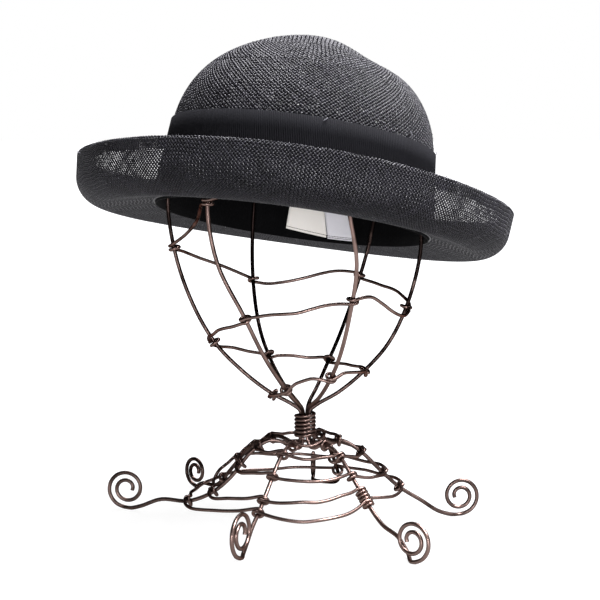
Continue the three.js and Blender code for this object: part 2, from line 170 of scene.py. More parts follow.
class Shader(Graph):
    """A material's nodes around one Principled shader."""

    def __init__(self, name: str) -> None:
        """Makes a material with a bare Principled shader.

        Args:
            name: The material's name.
        """
        self.material = bpy.data.materials.new(name)
        self.material.use_nodes = True
        super().__init__(self.material.node_tree)
        self.surface = self.node("ShaderNodeBsdfPrincipled")
        self.node("ShaderNodeOutputMaterial", sockets={"Surface": self.surface.outputs[0]})

    def place(self) -> bpy.types.NodeSocket:
        """The Object coordinates, in metres."""
        return self.node("ShaderNodeTexCoord").outputs["Object"]

    def attribute(self, name: str) -> bpy.types.Node:
        """A node that reads a mesh attribute."""
        return self.node("ShaderNodeAttribute", {"attribute_name": name})

    def scaled(self, vector: Any, factors: Triple) -> bpy.types.NodeSocket:
        """A vector with each part multiplied."""
        made = self.node("ShaderNodeVectorMath", {"operation": "MULTIPLY"}, {0: vector, 1: factors})
        return made.outputs[0]

    def noise(self, vector: Any, scale: float, detail: float = 2.0) -> Value:
        """Noise from 0 to 1 at a vector."""
        made = self.node("ShaderNodeTexNoise", sockets={"Vector": vector, "Scale": scale, "Detail": detail})
        return Value(self, made.outputs["Fac"])

    def mix(self, share: Any, first: Colour, second: Colour) -> bpy.types.NodeSocket:
        """A colour between two."""
        made = self.node("ShaderNodeMix", {"data_type": "RGBA"},
                         {0: share, 6: (*first, 1.0), 7: (*second, 1.0)})
        return made.outputs[2]

    def bump(self, height: Value, depth: float) -> bpy.types.NodeSocket:
        """A bumped normal, from a height and the depth in millimetres of a height of 1."""
        sockets = {"Height": height, "Distance": depth * MM, "Strength": 1.0}
        return self.node("ShaderNodeBump", sockets=sockets).outputs[0]

    def finish(self, **sockets: Any) -> bpy.types.Material:
        """Sets the Principled shader's inputs.

        Args:
            **sockets: A value or a link for each input, with _ for a blank in its name.

        Returns:
            The finished material.
        """
        for name, value in sockets.items():
            self.feed(self.surface.inputs[name.replace("_", " ")], value)
        return self.material


@dataclass(frozen=True)
class StrawFinish:
    """Dyed paper straw: dark strands with fine fibres along them and a dry gloss."""

    dark: Colour = (0.0018, 0.0017, 0.0024)
    light: Colour = (0.017, 0.016, 0.022)
    fibre_scale: Triple = (0.5, 5.0, 7.0)
    fibre_detail: float = 3.0
    fibre_depth: float = 0.1
    float_depth: float = 0.3
    shade_share: float = 0.65
    streak_share: float = 0.7
    darkening: float = 0.2
    roughness: float = 0.3
    roughness_spread: float = 0.25
    gloss: float = 0.32

    def material(self) -> bpy.types.Material:
        """Builds the straw's nodes.

        Returns:
            The material.
        """
        shader = Shader("dyed_straw")
        shade = Value(shader, shader.attribute("shade").outputs["Fac"])
        fibre = shader.scaled(shader.attribute("fibre").outputs["Vector"], self.fibre_scale)
        streak = shader.noise(fibre, 1.0, self.fibre_detail)
        tone = (shade * self.shade_share + streak * self.streak_share - self.darkening).clamped()
        over = Value(shader, shader.attribute("over").outputs["Fac"])
        height = (over * (math.pi / 2)).sine() * self.float_depth + streak * self.fibre_depth
        return shader.finish(
            Base_Color=shader.mix(tone, self.dark, self.light),
            Roughness=streak * self.roughness_spread + self.roughness,
            Normal=shader.bump(height, 1.0),
            Specular_IOR_Level=self.gloss,
        )


@dataclass(frozen=True)
class ClothFinish:
    """A matt woven cloth with a fine thread and a slow change of tone."""

    name: str
    dark: Colour
    light: Colour
    thread: float
    depth: float = 0.06
    roughness: float = 0.8
    roughness_spread: float = 0.15
    gloss: float = 0.2
    cloud_scale: float = 60.0
    cloud_share: float = 0.6
    grit_scale: float = 2500.0
    grit_share: float = 0.4
    grit_height: float = 0.6
    weave_share: float = 0.25
    darkening: float = 0.15

    def material(self) -> bpy.types.Material:
        """Builds the cloth's nodes.

        Returns:
            The material.
        """
        shader = Shader(self.name)
        place = shader.place()
        parts = shader.node("ShaderNodeSeparateXYZ", sockets={0: place}).outputs
        turns = 2 * math.pi / (self.thread * MM)
        across = (Value(shader, parts[0]) * turns).sine()
        upward = (Value(shader, parts[2]) * turns).sine()
        weave = across * upward * 0.5 + 0.5
        cloud = shader.noise(place, self.cloud_scale)
        grit = shader.noise(place, self.grit_scale)
        tone = cloud * self.cloud_share + grit * self.grit_share + weave * self.weave_share - self.darkening
        return shader.finish(
            Base_Color=shader.mix(tone.clamped(), self.dark, self.light),
            Roughness=grit * self.roughness_spread + self.roughness,
            Normal=shader.bump(weave + grit * self.grit_height, self.depth),
            Specular_IOR_Level=self.gloss,
        )


@dataclass(frozen=True)
class WireFinish:
    """Antique bronze wire: a thin brown coat rubbed brighter in patches, with painted light and shade.

    The painted light and shade change with the place, by so much for each metre along each axis: lighter
    towards the right, the front and the floor, and painted shade up under the hat. Each wire adds its own
    painted light.
    """

    dark: Colour = (0.011, 0.0073, 0.0065)
    bright: Colour = (0.27, 0.185, 0.16)
    edge: Colour = (0.12, 0.09, 0.08)
    roughness: float = 0.27
    roughness_spread: float = 0.1
    painted_light_slope: Triple = (0.7, -2.2, -3.2)
    detail: float = 3.0
    cloud_scale: float = 90.0
    cloud_share: float = 1.6
    grit_scale: float = 1800.0
    grit_share: float = 0.5
    grit_depth: float = 0.02
    darkening: float = 0.32

    def material(self) -> bpy.types.Material:
        """Builds the wire's nodes.

        Returns:
            The material.
        """
        shader = Shader("bronze_wire")
        place = shader.place()
        cloud = shader.noise(place, self.cloud_scale, self.detail)
        grit = shader.noise(place, self.grit_scale, self.detail)
        parts = shader.node("ShaderNodeSeparateXYZ", sockets={0: place}).outputs
        # The slopes with the place and each wire's own value are painted light and shade; the cloud and grit
        # patches are the coat's real wear.
        along, ahead, up = (Value(shader, part) * painted_light_slope for part, painted_light_slope in zip(parts, self.painted_light_slope))
        painted_light = Value(shader, shader.attribute("painted_light").outputs["Fac"])
        patches = cloud * self.cloud_share + grit * self.grit_share
        wear_and_painted_light = (patches + along + ahead + up + painted_light - self.darkening).clamped()
        return shader.finish(
            Base_Color=shader.mix(wear_and_painted_light, self.dark, self.bright),
            Roughness=grit * self.roughness_spread + self.roughness,
            Metallic=1.0,
            Specular_Tint=(*self.edge, 1.0),
            Normal=shader.bump(grit, self.grit_depth),
        )


@dataclass(frozen=True)
class FloorFinish:
    """A plain white floor, lit from below as a light table is, which the object sees dimmer."""

    colour: Colour = (0.08, 0.08, 0.08)
    glow: Colour = (0.93, 0.93, 0.93)
    bounce: Colour = (0.44, 0.44, 0.44)
    roughness: float = 0.9

    def material(self) -> bpy.types.Material:
        """Builds the floor's nodes.

        Returns:
            The material.
        """
        shader = Shader("white_floor")
        seen = Value(shader, shader.node("ShaderNodeLightPath").outputs["Is Camera Ray"])
        return shader.finish(
            Base_Color=(*self.colour, 1.0),
            Roughness=self.roughness,
            Emission_Color=shader.mix(seen, self.bounce, self.glow),
            Emission_Strength=1.0,
        )


class GeometryTree(Graph):
    """A Geometry Nodes tree with named inputs, which turns a piece's first mesh into its last one."""

    def __init__(self, name: str, inputs: Sequence[str]) -> None:
        """Starts a tree.

        Args:
            name: The tree's name.
            inputs: The names of its number inputs.
        """
        super().__init__(bpy.data.node_groups.new(name, "GeometryNodeTree"))
        face = self.tree.interface
        face.new_socket("Geometry", in_out="INPUT", socket_type="NodeSocketGeometry")
        face.new_socket("Geometry", in_out="OUTPUT", socket_type="NodeSocketGeometry")
        for key in inputs:
            face.new_socket(key, in_out="INPUT", socket_type="NodeSocketFloat")
        face.new_socket("Material", in_out="INPUT", socket_type="NodeSocketMaterial")
        self.given = self.node("NodeGroupInput").outputs

    def end(self, geometry: bpy.types.NodeSocket) -> None:
        """Ends the tree: smooth shading, real instances and the material.

        Args:
            geometry: The tree's last geometry.
        """
        smooth = self.node("GeometryNodeSetShadeSmooth", sockets={"Geometry": geometry})
        real = self.node("GeometryNodeRealizeInstances", sockets={"Geometry": smooth.outputs[0]})
        sockets = {"Geometry": real.outputs[0], "Material": self.given["Material"]}
        dressed = self.node("GeometryNodeSetMaterial", sockets=sockets)
        self.node("NodeGroupOutput", sockets={"Geometry": dressed.outputs[0]})

    def grow(self, mesh: bpy.types.Mesh, material: bpy.types.Material,
             sizes: Mapping[str, float]) -> bpy.types.Mesh:
        """Runs the tree on a mesh.

        Args:
            mesh: The mesh to start from.
            material: The material of the result.
            sizes: Values for the named inputs.

        Returns:
            The result as a plain mesh.
        """
        carrier = bpy.data.objects.new("carrier", mesh)
        bpy.context.scene.collection.objects.link(carrier)
        modifier = carrier.modifiers.new("grow", "NODES")
        modifier.node_group = self.tree
        for item in self.tree.interface.items_tree:
            if item.in_out == "INPUT" and item.name in sizes:
                modifier[item.identifier] = float(sizes[item.name])
            if item.in_out == "INPUT" and item.name == "Material":
                modifier[item.identifier] = material
        graph = bpy.context.evaluated_depsgraph_get()
        grown = bpy.data.meshes.new_from_object(carrier.evaluated_get(graph), depsgraph=graph)
        bpy.data.objects.remove(carrier)
        return grown


def wire_tree() -> GeometryTree:
    """A round wire along a path of edges, flattened where it meets the floor.

    Returns:
        The tree.
    """
    tree = GeometryTree("round_wire", ("Wire radius", "Sides"))
    path = tree.node("GeometryNodeMeshToCurve", sockets={0: tree.given["Geometry"]})
    sockets = {"Resolution": tree.given["Sides"], "Radius": tree.given["Wire radius"]}
    section = tree.node("GeometryNodeCurvePrimitiveCircle", sockets=sockets)
    sockets = {"Curve": path.outputs[0], "Profile Curve": section.outputs[0], "Fill Caps": True}
    tube = tree.node("GeometryNodeCurveToMesh", sockets=sockets)
    place = tree.node("ShaderNodeSeparateXYZ", sockets={0: tree.node("GeometryNodeInputPosition").outputs[0]})
    above = tree.node("ShaderNodeMath", {"operation": "MAXIMUM"}, {0: place.outputs[2], 1: 0.0})
    sockets = {0: place.outputs[0], 1: place.outputs[1], 2: above.outputs[0]}
    kept = tree.node("ShaderNodeCombineXYZ", sockets=sockets)
    sockets = {"Geometry": tube.outputs[0], "Position": kept.outputs[0]}
    tree.end(tree.node("GeometryNodeSetPosition", sockets=sockets).outputs[0])
    return tree


def ribbed_tree() -> GeometryTree:
    """Round ribs raised on a band, where its rib attribute counts ribs and its raise attribute is above 0.

    Returns:
        The tree.
    """
    tree = GeometryTree("ribbed_band", ("Rib height",))

    def read(name: str) -> Value:
        """A number attribute of the band."""
        made = tree.node("GeometryNodeInputNamedAttribute", {"data_type": "FLOAT"}, {"Name": name})
        return Value(tree, made.outputs[0])

    wave = (read("rib") * math.pi).sine()
    height = wave * wave * read("raise") * Value(tree, tree.given["Rib height"])
    normal = tree.node("GeometryNodeInputNormal").outputs[0]
    raised = tree.node("ShaderNodeVectorMath", {"operation": "SCALE"}, {0: normal, "Scale": height})
    sockets = {"Geometry": tree.given["Geometry"], "Offset": raised.outputs[0]}
    tree.end(tree.node("GeometryNodeSetPosition", sockets=sockets).outputs[0])
    return tree


def stitch_tree() -> GeometryTree:
    """Small round-ended stitches along paths of edges, at an even spacing.

    Returns:
        The tree.
    """
    tree = GeometryTree("stitches", ("Spacing", "Stitch length", "Thread"))
    path = tree.node("GeometryNodeMeshToCurve", sockets={0: tree.given["Geometry"]})
    sockets = {"Curve": path.outputs[0], "Length": tree.given["Spacing"]}
    spots = tree.node("GeometryNodeResampleCurve", {"mode": "LENGTH"}, sockets)
    ball = tree.node("GeometryNodeMeshUVSphere", sockets={"Segments": 6, "Rings": 4, "Radius": 0.5})
    size = tree.node("ShaderNodeCombineXYZ", sockets={
        0: tree.given["Stitch length"], 1: tree.given["Thread"], 2: tree.given["Thread"]})
    along = tree.node("FunctionNodeAlignRotationToVector", {"axis": "X"}, {
        "Vector": tree.node("GeometryNodeInputTangent").outputs[0]})
    placed = tree.node("GeometryNodeInstanceOnPoints", sockets={
        "Points": spots.outputs[0], "Instance": ball.outputs[0],
        "Rotation": along.outputs[0], "Scale": size.outputs[0]})
    tree.end(placed.outputs[0])
    return tree


def unit(vectors: Array) -> Array:
    """Vectors made one long."""
    return vectors / np.maximum(np.linalg.norm(vectors, axis=-1, keepdims=True), 1e-9)


def polar(radius: Any, angle: Any, height: Any) -> Array:
    """Points at angles about the vertical axis."""
    return np.stack(np.broadcast_arrays(radius * np.cos(angle), radius * np.sin(angle), height), axis=-1)


def smooth_path(points: Array, steps: int) -> Array:
    """A centripetal Catmull-Rom curve through points.

    Args:
        points: The points, one to a row.
        steps: Steps from each point to the next.

    Returns:
        The points of the curve.
    """
    padded = np.vstack([2 * points[:1] - points[1:2], points, 2 * points[-1:] - points[-2:-1]])
    before, start, end, after = padded[:-3], padded[1:-2], padded[2:-1], padded[3:]
    gaps = np.maximum(np.linalg.norm(np.diff(padded, axis=0), axis=1), 1e-6)[:, None] ** 0.5
    first, middle, last = gaps[:-2], gaps[1:-1], gaps[2:]
    leaving = ((start - before) / first - (end - before) / (first + middle)) * middle + end - start
    arriving = ((after - end) / last - (after - start) / (middle + last)) * middle + end - start
    share = (np.arange(steps) / steps)[None, :, None]
    curve = (
        (2 * share**3 - 3 * share**2 + 1) * start[:, None]
        + (share**3 - 2 * share**2 + share) * leaving[:, None]
        + (3 * share**2 - 2 * share**3) * end[:, None]
        + (share**3 - share**2) * arriving[:, None]
    ).reshape(-1, 3)
    return np.vstack([curve, points[-1:]])


def path_mesh(paths: Sequence[Array], closed: bool = False) -> bpy.types.Mesh:
    """A mesh of edges along paths.

    Args:
        paths: The points of each path, in millimetres.
        closed: Whether each path comes back to its first point.

    Returns:
        The mesh.
    """
    edges = []
    first = 0
    for points in paths:
        count = len(points)
        edges += [(first + i, first + (i + 1) % count) for i in range(count if closed else count - 1)]
        first += count
    mesh = bpy.data.meshes.new("path")
    mesh.from_pydata((np.concatenate(paths) * MM).tolist(), edges, [])
    return mesh


def wrapped_mesh(name: str, rings: Array) -> bpy.types.Mesh:
    """A closed band: rings of points round a section, the last ring meeting the first.

    Args:
        name: The mesh's name.
        rings: Points by ring, by place round the section and by axis, in millimetres.

    Returns:
        The mesh.
    """
    count, around = rings.shape[:2]
    index = np.arange(count * around).reshape(count, around)
    ahead = np.roll(index, -1, axis=0)
    faces = np.stack([index, ahead, np.roll(ahead, -1, axis=1), np.roll(index, -1, axis=1)], axis=-1)
    mesh = bpy.data.meshes.new(name)
    mesh.from_pydata((rings.reshape(-1, 3) * MM).tolist(), [], faces.reshape(-1, 4).tolist())
    mesh.shade_smooth()
    return mesh


def slab_mesh(name: str, front: Array, back: Array) -> bpy.types.Mesh:
    """A closed sheet between two grids of points.

    Args:
        name: The mesh's name.
        front: Points by row, by column and by axis, in millimetres.
        back: As many points, behind them.

    Returns:
        The mesh.
    """
    rows, columns = front.shape[:2]
    behind = rows * columns
    near = np.arange(behind).reshape(rows, columns)

    def quads(grid: Array) -> Array:
        """The faces of a grid."""
        corners = [grid[:-1, :-1], grid[:-1, 1:], grid[1:, 1:], grid[1:, :-1]]
        return np.stack(corners, axis=-1).reshape(-1, 4)

    rim = np.concatenate([near[0, :-1], near[:-1, -1], near[-1, :0:-1], near[:0:-1, 0]])
    onward = np.roll(rim, -1)
    edge = np.stack([rim, rim + behind, onward + behind, onward], axis=-1)
    faces = np.concatenate([quads(near), quads(near + behind)[:, ::-1], edge])
    mesh = bpy.data.meshes.new(name)
    mesh.from_pydata((np.concatenate([front, back]).reshape(-1, 3) * MM).tolist(), [], faces.tolist())
    mesh.shade_smooth()
    return mesh


def add_piece(name: str, mesh: bpy.types.Mesh, material: bpy.types.Material,
              nodes: Sequence[str]) -> bpy.types.Object:
    """Puts a finished mesh into the scene as a piece of the part.

    Args:
        name: The piece's name.
        mesh: Its mesh, in place.
        material: Its material.
        nodes: The solids that it stands for.

    Returns:
        The piece.
    """
    piece = bpy.data.objects.new(name, mesh)
    bpy.context.scene.collection.objects.link(piece)
    mesh.materials.clear()
    mesh.materials.append(material)
    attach(piece, BODY)
    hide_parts(*nodes)
    LOG.info("%s: %d faces for %s", name, len(mesh.polygons), ", ".join(nodes))
    return piece


@dataclass(frozen=True)
class HatSeat:
    """Where the hat's own frame sits on the stand: millimetres and degrees."""

    place: Triple = (-1.9, -3.85, 184.2)
    tips_back: float = 10.2
    tips_right: float = 7.9

    def to_part(self, points: Array) -> Array:
        """Sets points down on the stand.

        Args:
            points: Points in the hat's frame.

        Returns:
            The points in the part's frame.
        """
        back = math.radians(self.tips_back)
        right = math.radians(self.tips_right)
        roll = np.array([
            [math.cos(right), 0, math.sin(right)],
            [0, 1, 0],
            [-math.sin(right), 0, math.cos(right)],
        ])
        pitch = np.array([
            [1, 0, 0],
            [0, math.cos(back), math.sin(back)],
            [0, -math.sin(back), math.cos(back)],
        ])
        return points @ (pitch @ roll).T + np.array(self.place)


SEAT = HatSeat()


@dataclass(frozen=True)
class Dent:
    """A soft dent: its middle, its reach sideways and front to back, and its depth."""

    x: float
    y: float
    reach_x: float
    reach_y: float
    depth: float


@dataclass(frozen=True)
class Lay:
    """A family of strands on the flat cloth.

    By strand and step: the flat points, and 1 where the strand passes over or -1 where it passes under. And
    the gap from the middle of one strand to the next.
    """

    flat: Array
    over: Array
    gap: float


class Form(Protocol):
    """A surface that flat cloth is blocked over, and the sign of its outer side."""

    outward: float

    def lay(self, family: Family, uneven: float, rng: np.random.Generator) -> Lay:
        """Lays one family of strands on the flat cloth."""

    def spread(self, flat: Array) -> Array:
        """Points of the flat cloth on the surface."""

    def holds(self, flat: Array) -> Array:
        """Whether the cloth reaches to each flat point."""


@dataclass(frozen=True)
class CrownForm:
    """The middle of the crown's straw wall: a tapered wall under a dented dome.

    Its cloth is woven in three zones, the tip, the shoulder and the side, which meet at two half widths and
    lap over each other. The side's edge lies under the ribbon.
    """

    half_width: float = 84.0
    half_length: float = 104.0
    foot: float = 40.0
    dome_half_width: float = 79.7
    rise: float = 71.0
    fullness: float = 2.15
    straw: float = 1.2
    cloth_edge: float = 45.0
    tip_half_width: float = 48.0
    shoulder_half_width: float = 64.0
    lap: float = 1.0
    dents: tuple[Dent, ...] = (
        Dent(x=34, y=0, reach_x=18, reach_y=62, depth=5.2),
        Dent(x=-38, y=0, reach_x=22, reach_y=60, depth=1.6),
        Dent(x=-16, y=-58, reach_x=15, reach_y=20, depth=1.8),
    )
    rings: int = 900

    @property
    def oval(self) -> float:
        """The hat's length over its width."""
        return self.half_length / self.half_width

    def half_width_at(self, height: Array) -> Array:
        """Half the width of the crown's outer face.

        Args:
            height: Heights above the headline.

        Returns:
            The half width at each height.
        """
        wall = self.half_width + (self.dome_half_width - self.half_width) * height / self.foot
        rise = np.clip((height - self.foot) / self.rise, 0, 1)
        dome = self.dome_half_width * (1 - rise**self.fullness) ** (1 / self.fullness)
        return np.where(height < self.foot, wall, dome)

    @cached_property
    def meridian(self) -> tuple[Array, Array, Array]:
        """The line from the top of the dome down its side.

        Returns:
            The radius, the height and the way from the top at each of its points.
        """
        turn = np.linspace(0, math.pi / 2, self.rings)
        inset = self.straw / 2
        radius = (self.dome_half_width - inset) * np.sin(turn) ** (2 / self.fullness)
        height = self.foot + (self.rise - inset) * np.cos(turn) ** (2 / self.fullness)
        side = np.concatenate([[0], np.cumsum(np.hypot(np.diff(radius), np.diff(height)))])
        return radius, height, side

    @cached_property
    def stretch(self) -> float:
        """The way from the top down the front, over the way down the side."""
        radius, height, side = self.meridian
        return np.hypot(self.oval * np.diff(radius), np.diff(height)).sum() / side[-1]

    def ring(self, height: Array, offset: Any, angle: Array) -> Array:
        """Points on rings round the crown.

        Args:
            height: Their heights above the headline.
            offset: How far they stand out from the crown's outer face.
            angle: Their angles about the hat.

        Returns:
            Points in the hat's frame.
        """
        points = polar(self.half_width_at(height) + offset, angle, height)
        points[..., 1] *= self.oval
        return points

    def dented(self, points: Array) -> Array:
        """Presses the dents in.

        Args:
            points: Points of the dome, in the hat's frame.

        Returns:
            The points, moved inwards.
        """
        above = points[..., 2] - self.foot
        depth = np.zeros_like(above)
        for dent in self.dents:
            across = (points[..., 0] - dent.x) / dent.reach_x
            ahead = (points[..., 1] - dent.y) / dent.reach_y
            depth += dent.depth * np.exp(-(across**2) - ahead**2)
        depth *= np.clip(above / (self.rise / 2), 0, 1)
        outward = unit(np.stack([points[..., 0], points[..., 1], above], axis=-1))
        return points - outward * depth[..., None]

    def reach_at(self, half_width: float) -> float:
        """The way from the top along the side to where the dome has a half width."""
        radius, _, side = self.meridian
        return float(np.interp(half_width, radius, side))

    @property
    def cloth_reach(self) -> float:
        """The way from the top along the side to the cloth's edge under the ribbon."""
        _, height, side = self.meridian
        return float(np.interp(-self.cloth_edge, -height, side))

    def point(self, angle: Array, reach: Array) -> Array:
        """Points of the cloth.

        Args:
            angle: The angle about the hat.
            reach: The way from the top, as along the side.

        Returns:
            Points in the hat's frame.
        """
        radius, height, side = self.meridian
        points = polar(np.interp(reach, side, radius), angle, np.interp(reach, side, height))
        points[..., 1] *= self.oval
        return self.dented(points)


CROWN = CrownForm()


@dataclass(frozen=True)
class CrownTip:
    """The flat-woven cloth at the top of the crown, out to an edge."""

    edge: float
    pitch: float
    grain: float = 45.0
    outward: float = 1.0

    def polar(self, flat: Array) -> tuple[Array, Array]:
        """The angle, and the way from the top as along the side, of flat points."""
        across, along = flat[..., 0], flat[..., 1] / CROWN.stretch
        return np.arctan2(along, across), np.hypot(across, along)

    def spread(self, flat: Array) -> Array:
        """Points of the flat cloth on the crown."""
        return CROWN.point(*self.polar(flat))

    def holds(self, flat: Array) -> Array:
        """Whether the cloth reaches to each flat point."""
        return self.polar(flat)[1] < self.edge

    def lay(self, family: Family, uneven: float, rng: np.random.Generator) -> Lay:
        """Lays straight strands at right angles.

        Args:
            family: Which family of strands.
            uneven: How unevenly they lie, as a share of the pitch.
            rng: What that is drawn from, the same for both families.

        Returns:
            The strands.
        """
        count = int(self.edge * CROWN.stretch / self.pitch) + 1
        numbers = np.arange(-count, count + 1)
        places = self.pitch * (numbers + rng.normal(0, uneven, (2, len(numbers))))
        along, across = np.meshgrid(places[1 - family.value], places[family.value])
        grain = math.radians(self.grain)
        warp_ways = np.array([math.cos(grain), math.sin(grain)])
        weft_ways = np.array([-math.sin(grain), math.cos(grain)])
        ahead, aside = (warp_ways, weft_ways) if family is Family.WARP else (weft_ways, warp_ways)
        flat = along[..., None] * ahead + across[..., None] * aside
        return Lay(flat, (-1.0) ** (np.add.outer(numbers, numbers) + family.value), self.pitch)


@dataclass(frozen=True)
class RingForm:
    """Cloth that is woven in the round, its strands slantwise to its rings.

    Its flat points are the way round one ring, from the back, and the way out over the rings. That ring is
    given by half its width and half its length, and the weave by its columns and rows.
    """

    ring: tuple[float, float]
    column: float
    row: float
    near: float
    far: float

    @cached_property
    def girdle(self) -> tuple[Array, Array]:
        """The way round the ring.

        Returns:
            Ways from the back, and the angles about the hat there.
        """
        angle = np.linspace(0.5 * math.pi, 2.5 * math.pi, RING_POINTS)
        x, y = self.ring[0] * np.cos(angle), self.ring[1] * np.sin(angle)
        return np.concatenate([[0], np.cumsum(np.hypot(np.diff(x), np.diff(y)))]), angle

    def angle(self, flat: Array) -> Array:
        """The angles about the hat of flat points."""
        way, angle = self.girdle
        return np.interp(flat[..., 0] % way[-1], way, angle)

    def lay(self, family: Family, uneven: float, rng: np.random.Generator) -> Lay:
        """Lays strands slantwise over the rings, all the way round.

        Args:
            family: Which family of strands.
            uneven: How unevenly they lie, as a share of a column.
            rng: What that is drawn from, the same for both families.

        Returns:
            The strands.
        """
        girth = self.girdle[0][-1]
        count = round(girth / self.column)
        column = girth / count
        number = np.arange(count)[:, None]
        level = np.arange(math.ceil(2 * (self.far - self.near) / self.row) + 1)[None]
        slant = 1 if family is Family.WARP else -1
        shifts = column * rng.normal(0, uneven, (2, count))
        own, crossed = shifts[family.value], shifts[1 - family.value]
        steps = (level * column + slant * (crossed[(number + slant * level) % count] - own[:, None])) / 2
        around = number * column + own[:, None] + slant * steps
        flat = np.stack([around, self.near + steps * self.row / column], axis=-1)
        over = np.broadcast_to(slant * (-1.0) ** level, around.shape)
        return Lay(flat, over, column * self.row / math.hypot(column, self.row))


@dataclass(frozen=True)
class CrownRing(RingForm):
    """A zone of the crown, from one way from its top to another.

    Its rings hang lower at the sides by an arch.
    """

    top: float
    arch: float
    outward: float = -1.0

    @classmethod
    def between(cls, top: float, bottom: float, column: float, row: float,
                arch: float = 14.0) -> "CrownRing":
        """Makes a zone.

        Args:
            top: The way from the crown's top to where the zone starts.
            bottom: The way to where it ends.
            column: The width of a column of the weave, there.
            row: The height of a row.
            arch: How much lower the rings hang at the sides.

        Returns:
            The zone.
        """
        radius, _, side = CROWN.meridian
        half_width = float(np.interp(bottom, side, radius))
        return cls((half_width, half_width * CROWN.oval), column, row, top - arch, bottom, top, arch)

    def reach(self, flat: Array) -> Array:
        """The way of flat points from the top, as along the side."""
        return flat[..., 1] + self.arch * np.cos(self.angle(flat)) ** 2

    def spread(self, flat: Array) -> Array:
        """Points of the flat cloth on the crown."""
        return CROWN.point(self.angle(flat), self.reach(flat))

    def holds(self, flat: Array) -> Array:
        """Whether the zone reaches to each flat point."""
        reach = self.reach(flat)
        return (reach > self.top) & (reach < self.far)


@dataclass(frozen=True)
class BrimQuarter:
    """The brim's section at a quarter: widths in millimetres along the cloth, slopes in degrees."""

    width: float
    droop: float
    flat: float
    radius: float
    wall: float

    def columns(self) -> Array:
        """The section as a row of numbers."""
        return np.array([self.width, self.droop, self.flat, self.radius, self.wall])


@dataclass(frozen=True)
class BrimForm(RingForm):
    """The middle of the brim's cloth: a ring that droops, rolls up and is folded in at its hem."""

    ring: tuple[float, float] = (125.0, 145.0)
    column: float = 2.05
    row: float = 2.2
    near: float = -1.9
    far: float = 76.5
    left: BrimQuarter = BrimQuarter(width=68.5, droop=13.5, flat=28, radius=16, wall=84)
    right: BrimQuarter = BrimQuarter(width=66.5, droop=13.5, flat=26.5, radius=16, wall=84)
    front: BrimQuarter = BrimQuarter(width=68.5, droop=11, flat=22, radius=20, wall=92)
    back: BrimQuarter = BrimQuarter(width=68.5, droop=7, flat=23, radius=20, wall=88)
    hem: float = 8.0
    fold: float = 0.6
    straw: float = 1.2
    outward: float = 1.0

    def section(self, angle: Array) -> list[Array]:
        """The section at angles about the hat.

        Args:
            angle: The angles.

        Returns:
            The columns of the quarters' table in between, slopes in radians.
        """
        ahead = np.sin(angle)[..., None]
        side = np.where(np.cos(angle)[..., None] < 0, self.left.columns(), self.right.columns())
        end = np.where(ahead < 0, self.front.columns(), self.back.columns())
        table = side + (end - side) * ahead**2
        width, droop, flat, radius, wall = np.moveaxis(table, -1, 0)
        return [width, np.radians(droop), flat, radius, np.radians(wall)]

    def point(self, angle: Array, along: Array, above: Array) -> Array:
        """Points of the brim.

        Args:
            angle: The angle about the hat.
            along: How far out along the cloth.
            above: How far above the under face.

        Returns:
            Points in the hat's frame.
        """
        _, droop, flat, radius, wall = self.section(angle)
        straight = np.minimum(along, flat)
        slope = np.minimum(np.maximum(0, along - flat) / radius - droop, wall)
        upright = np.maximum(0, along - flat - radius * (wall + droop))
        rolled = radius * (np.sin(slope) + np.sin(droop))
        raised = radius * (np.cos(droop) - np.cos(slope))
        out = straight * np.cos(droop) + rolled + upright * np.cos(wall) - above * np.sin(slope)
        rise = raised - straight * np.sin(droop) + upright * np.sin(wall) + above * np.cos(slope)
        x = (CROWN.half_width + FIT_GAP + out) * np.cos(angle)
        y = (CROWN.half_length + FIT_GAP + out) * np.sin(angle)
        return np.stack([x, y, rise], axis=-1)

    def spread(self, flat: Array) -> Array:
        """Puts the flat cloth on the brim, folded over at the rim.

        Args:
            flat: Flat points.

        Returns:
            Points in the hat's frame.
        """
        angle, along = self.angle(flat), flat[..., 1]
        edge = self.section(angle)[0] - self.fold
        past = along - edge
        turn = np.clip(past / self.fold, 0, math.pi)
        hemmed = np.maximum(0, past - math.pi * self.fold)
        out = np.minimum(along, edge) + self.fold * np.sin(turn) - hemmed
        above = self.straw / 2 + self.fold * (1 - np.cos(turn))
        return self.point(angle, out, above)

    def holds(self, flat: Array) -> Array:
        """Whether the cloth reaches to each flat point: from the headline to the end of the hem."""
        along = flat[..., 1]
        return (along > self.near) & (along < self.section(self.angle(flat))[0] + self.hem)


BRIM = BrimForm()


def smooth_noise(rng: np.random.Generator, rows: int, columns: int, reach: int) -> Array:
    """Noise that changes slowly along each row, with a spread of about 1.

    Args:
        rng: What it is drawn from.
        rows: How many rows.
        columns: How many values in a row.
        reach: Over how many values it changes.

    Returns:
        The values by row and column.
    """
    sums = np.cumsum(rng.normal(size=(rows, columns + reach)), axis=1)
    return (sums[:, reach:] - sums[:, :-reach]) / math.sqrt(reach)


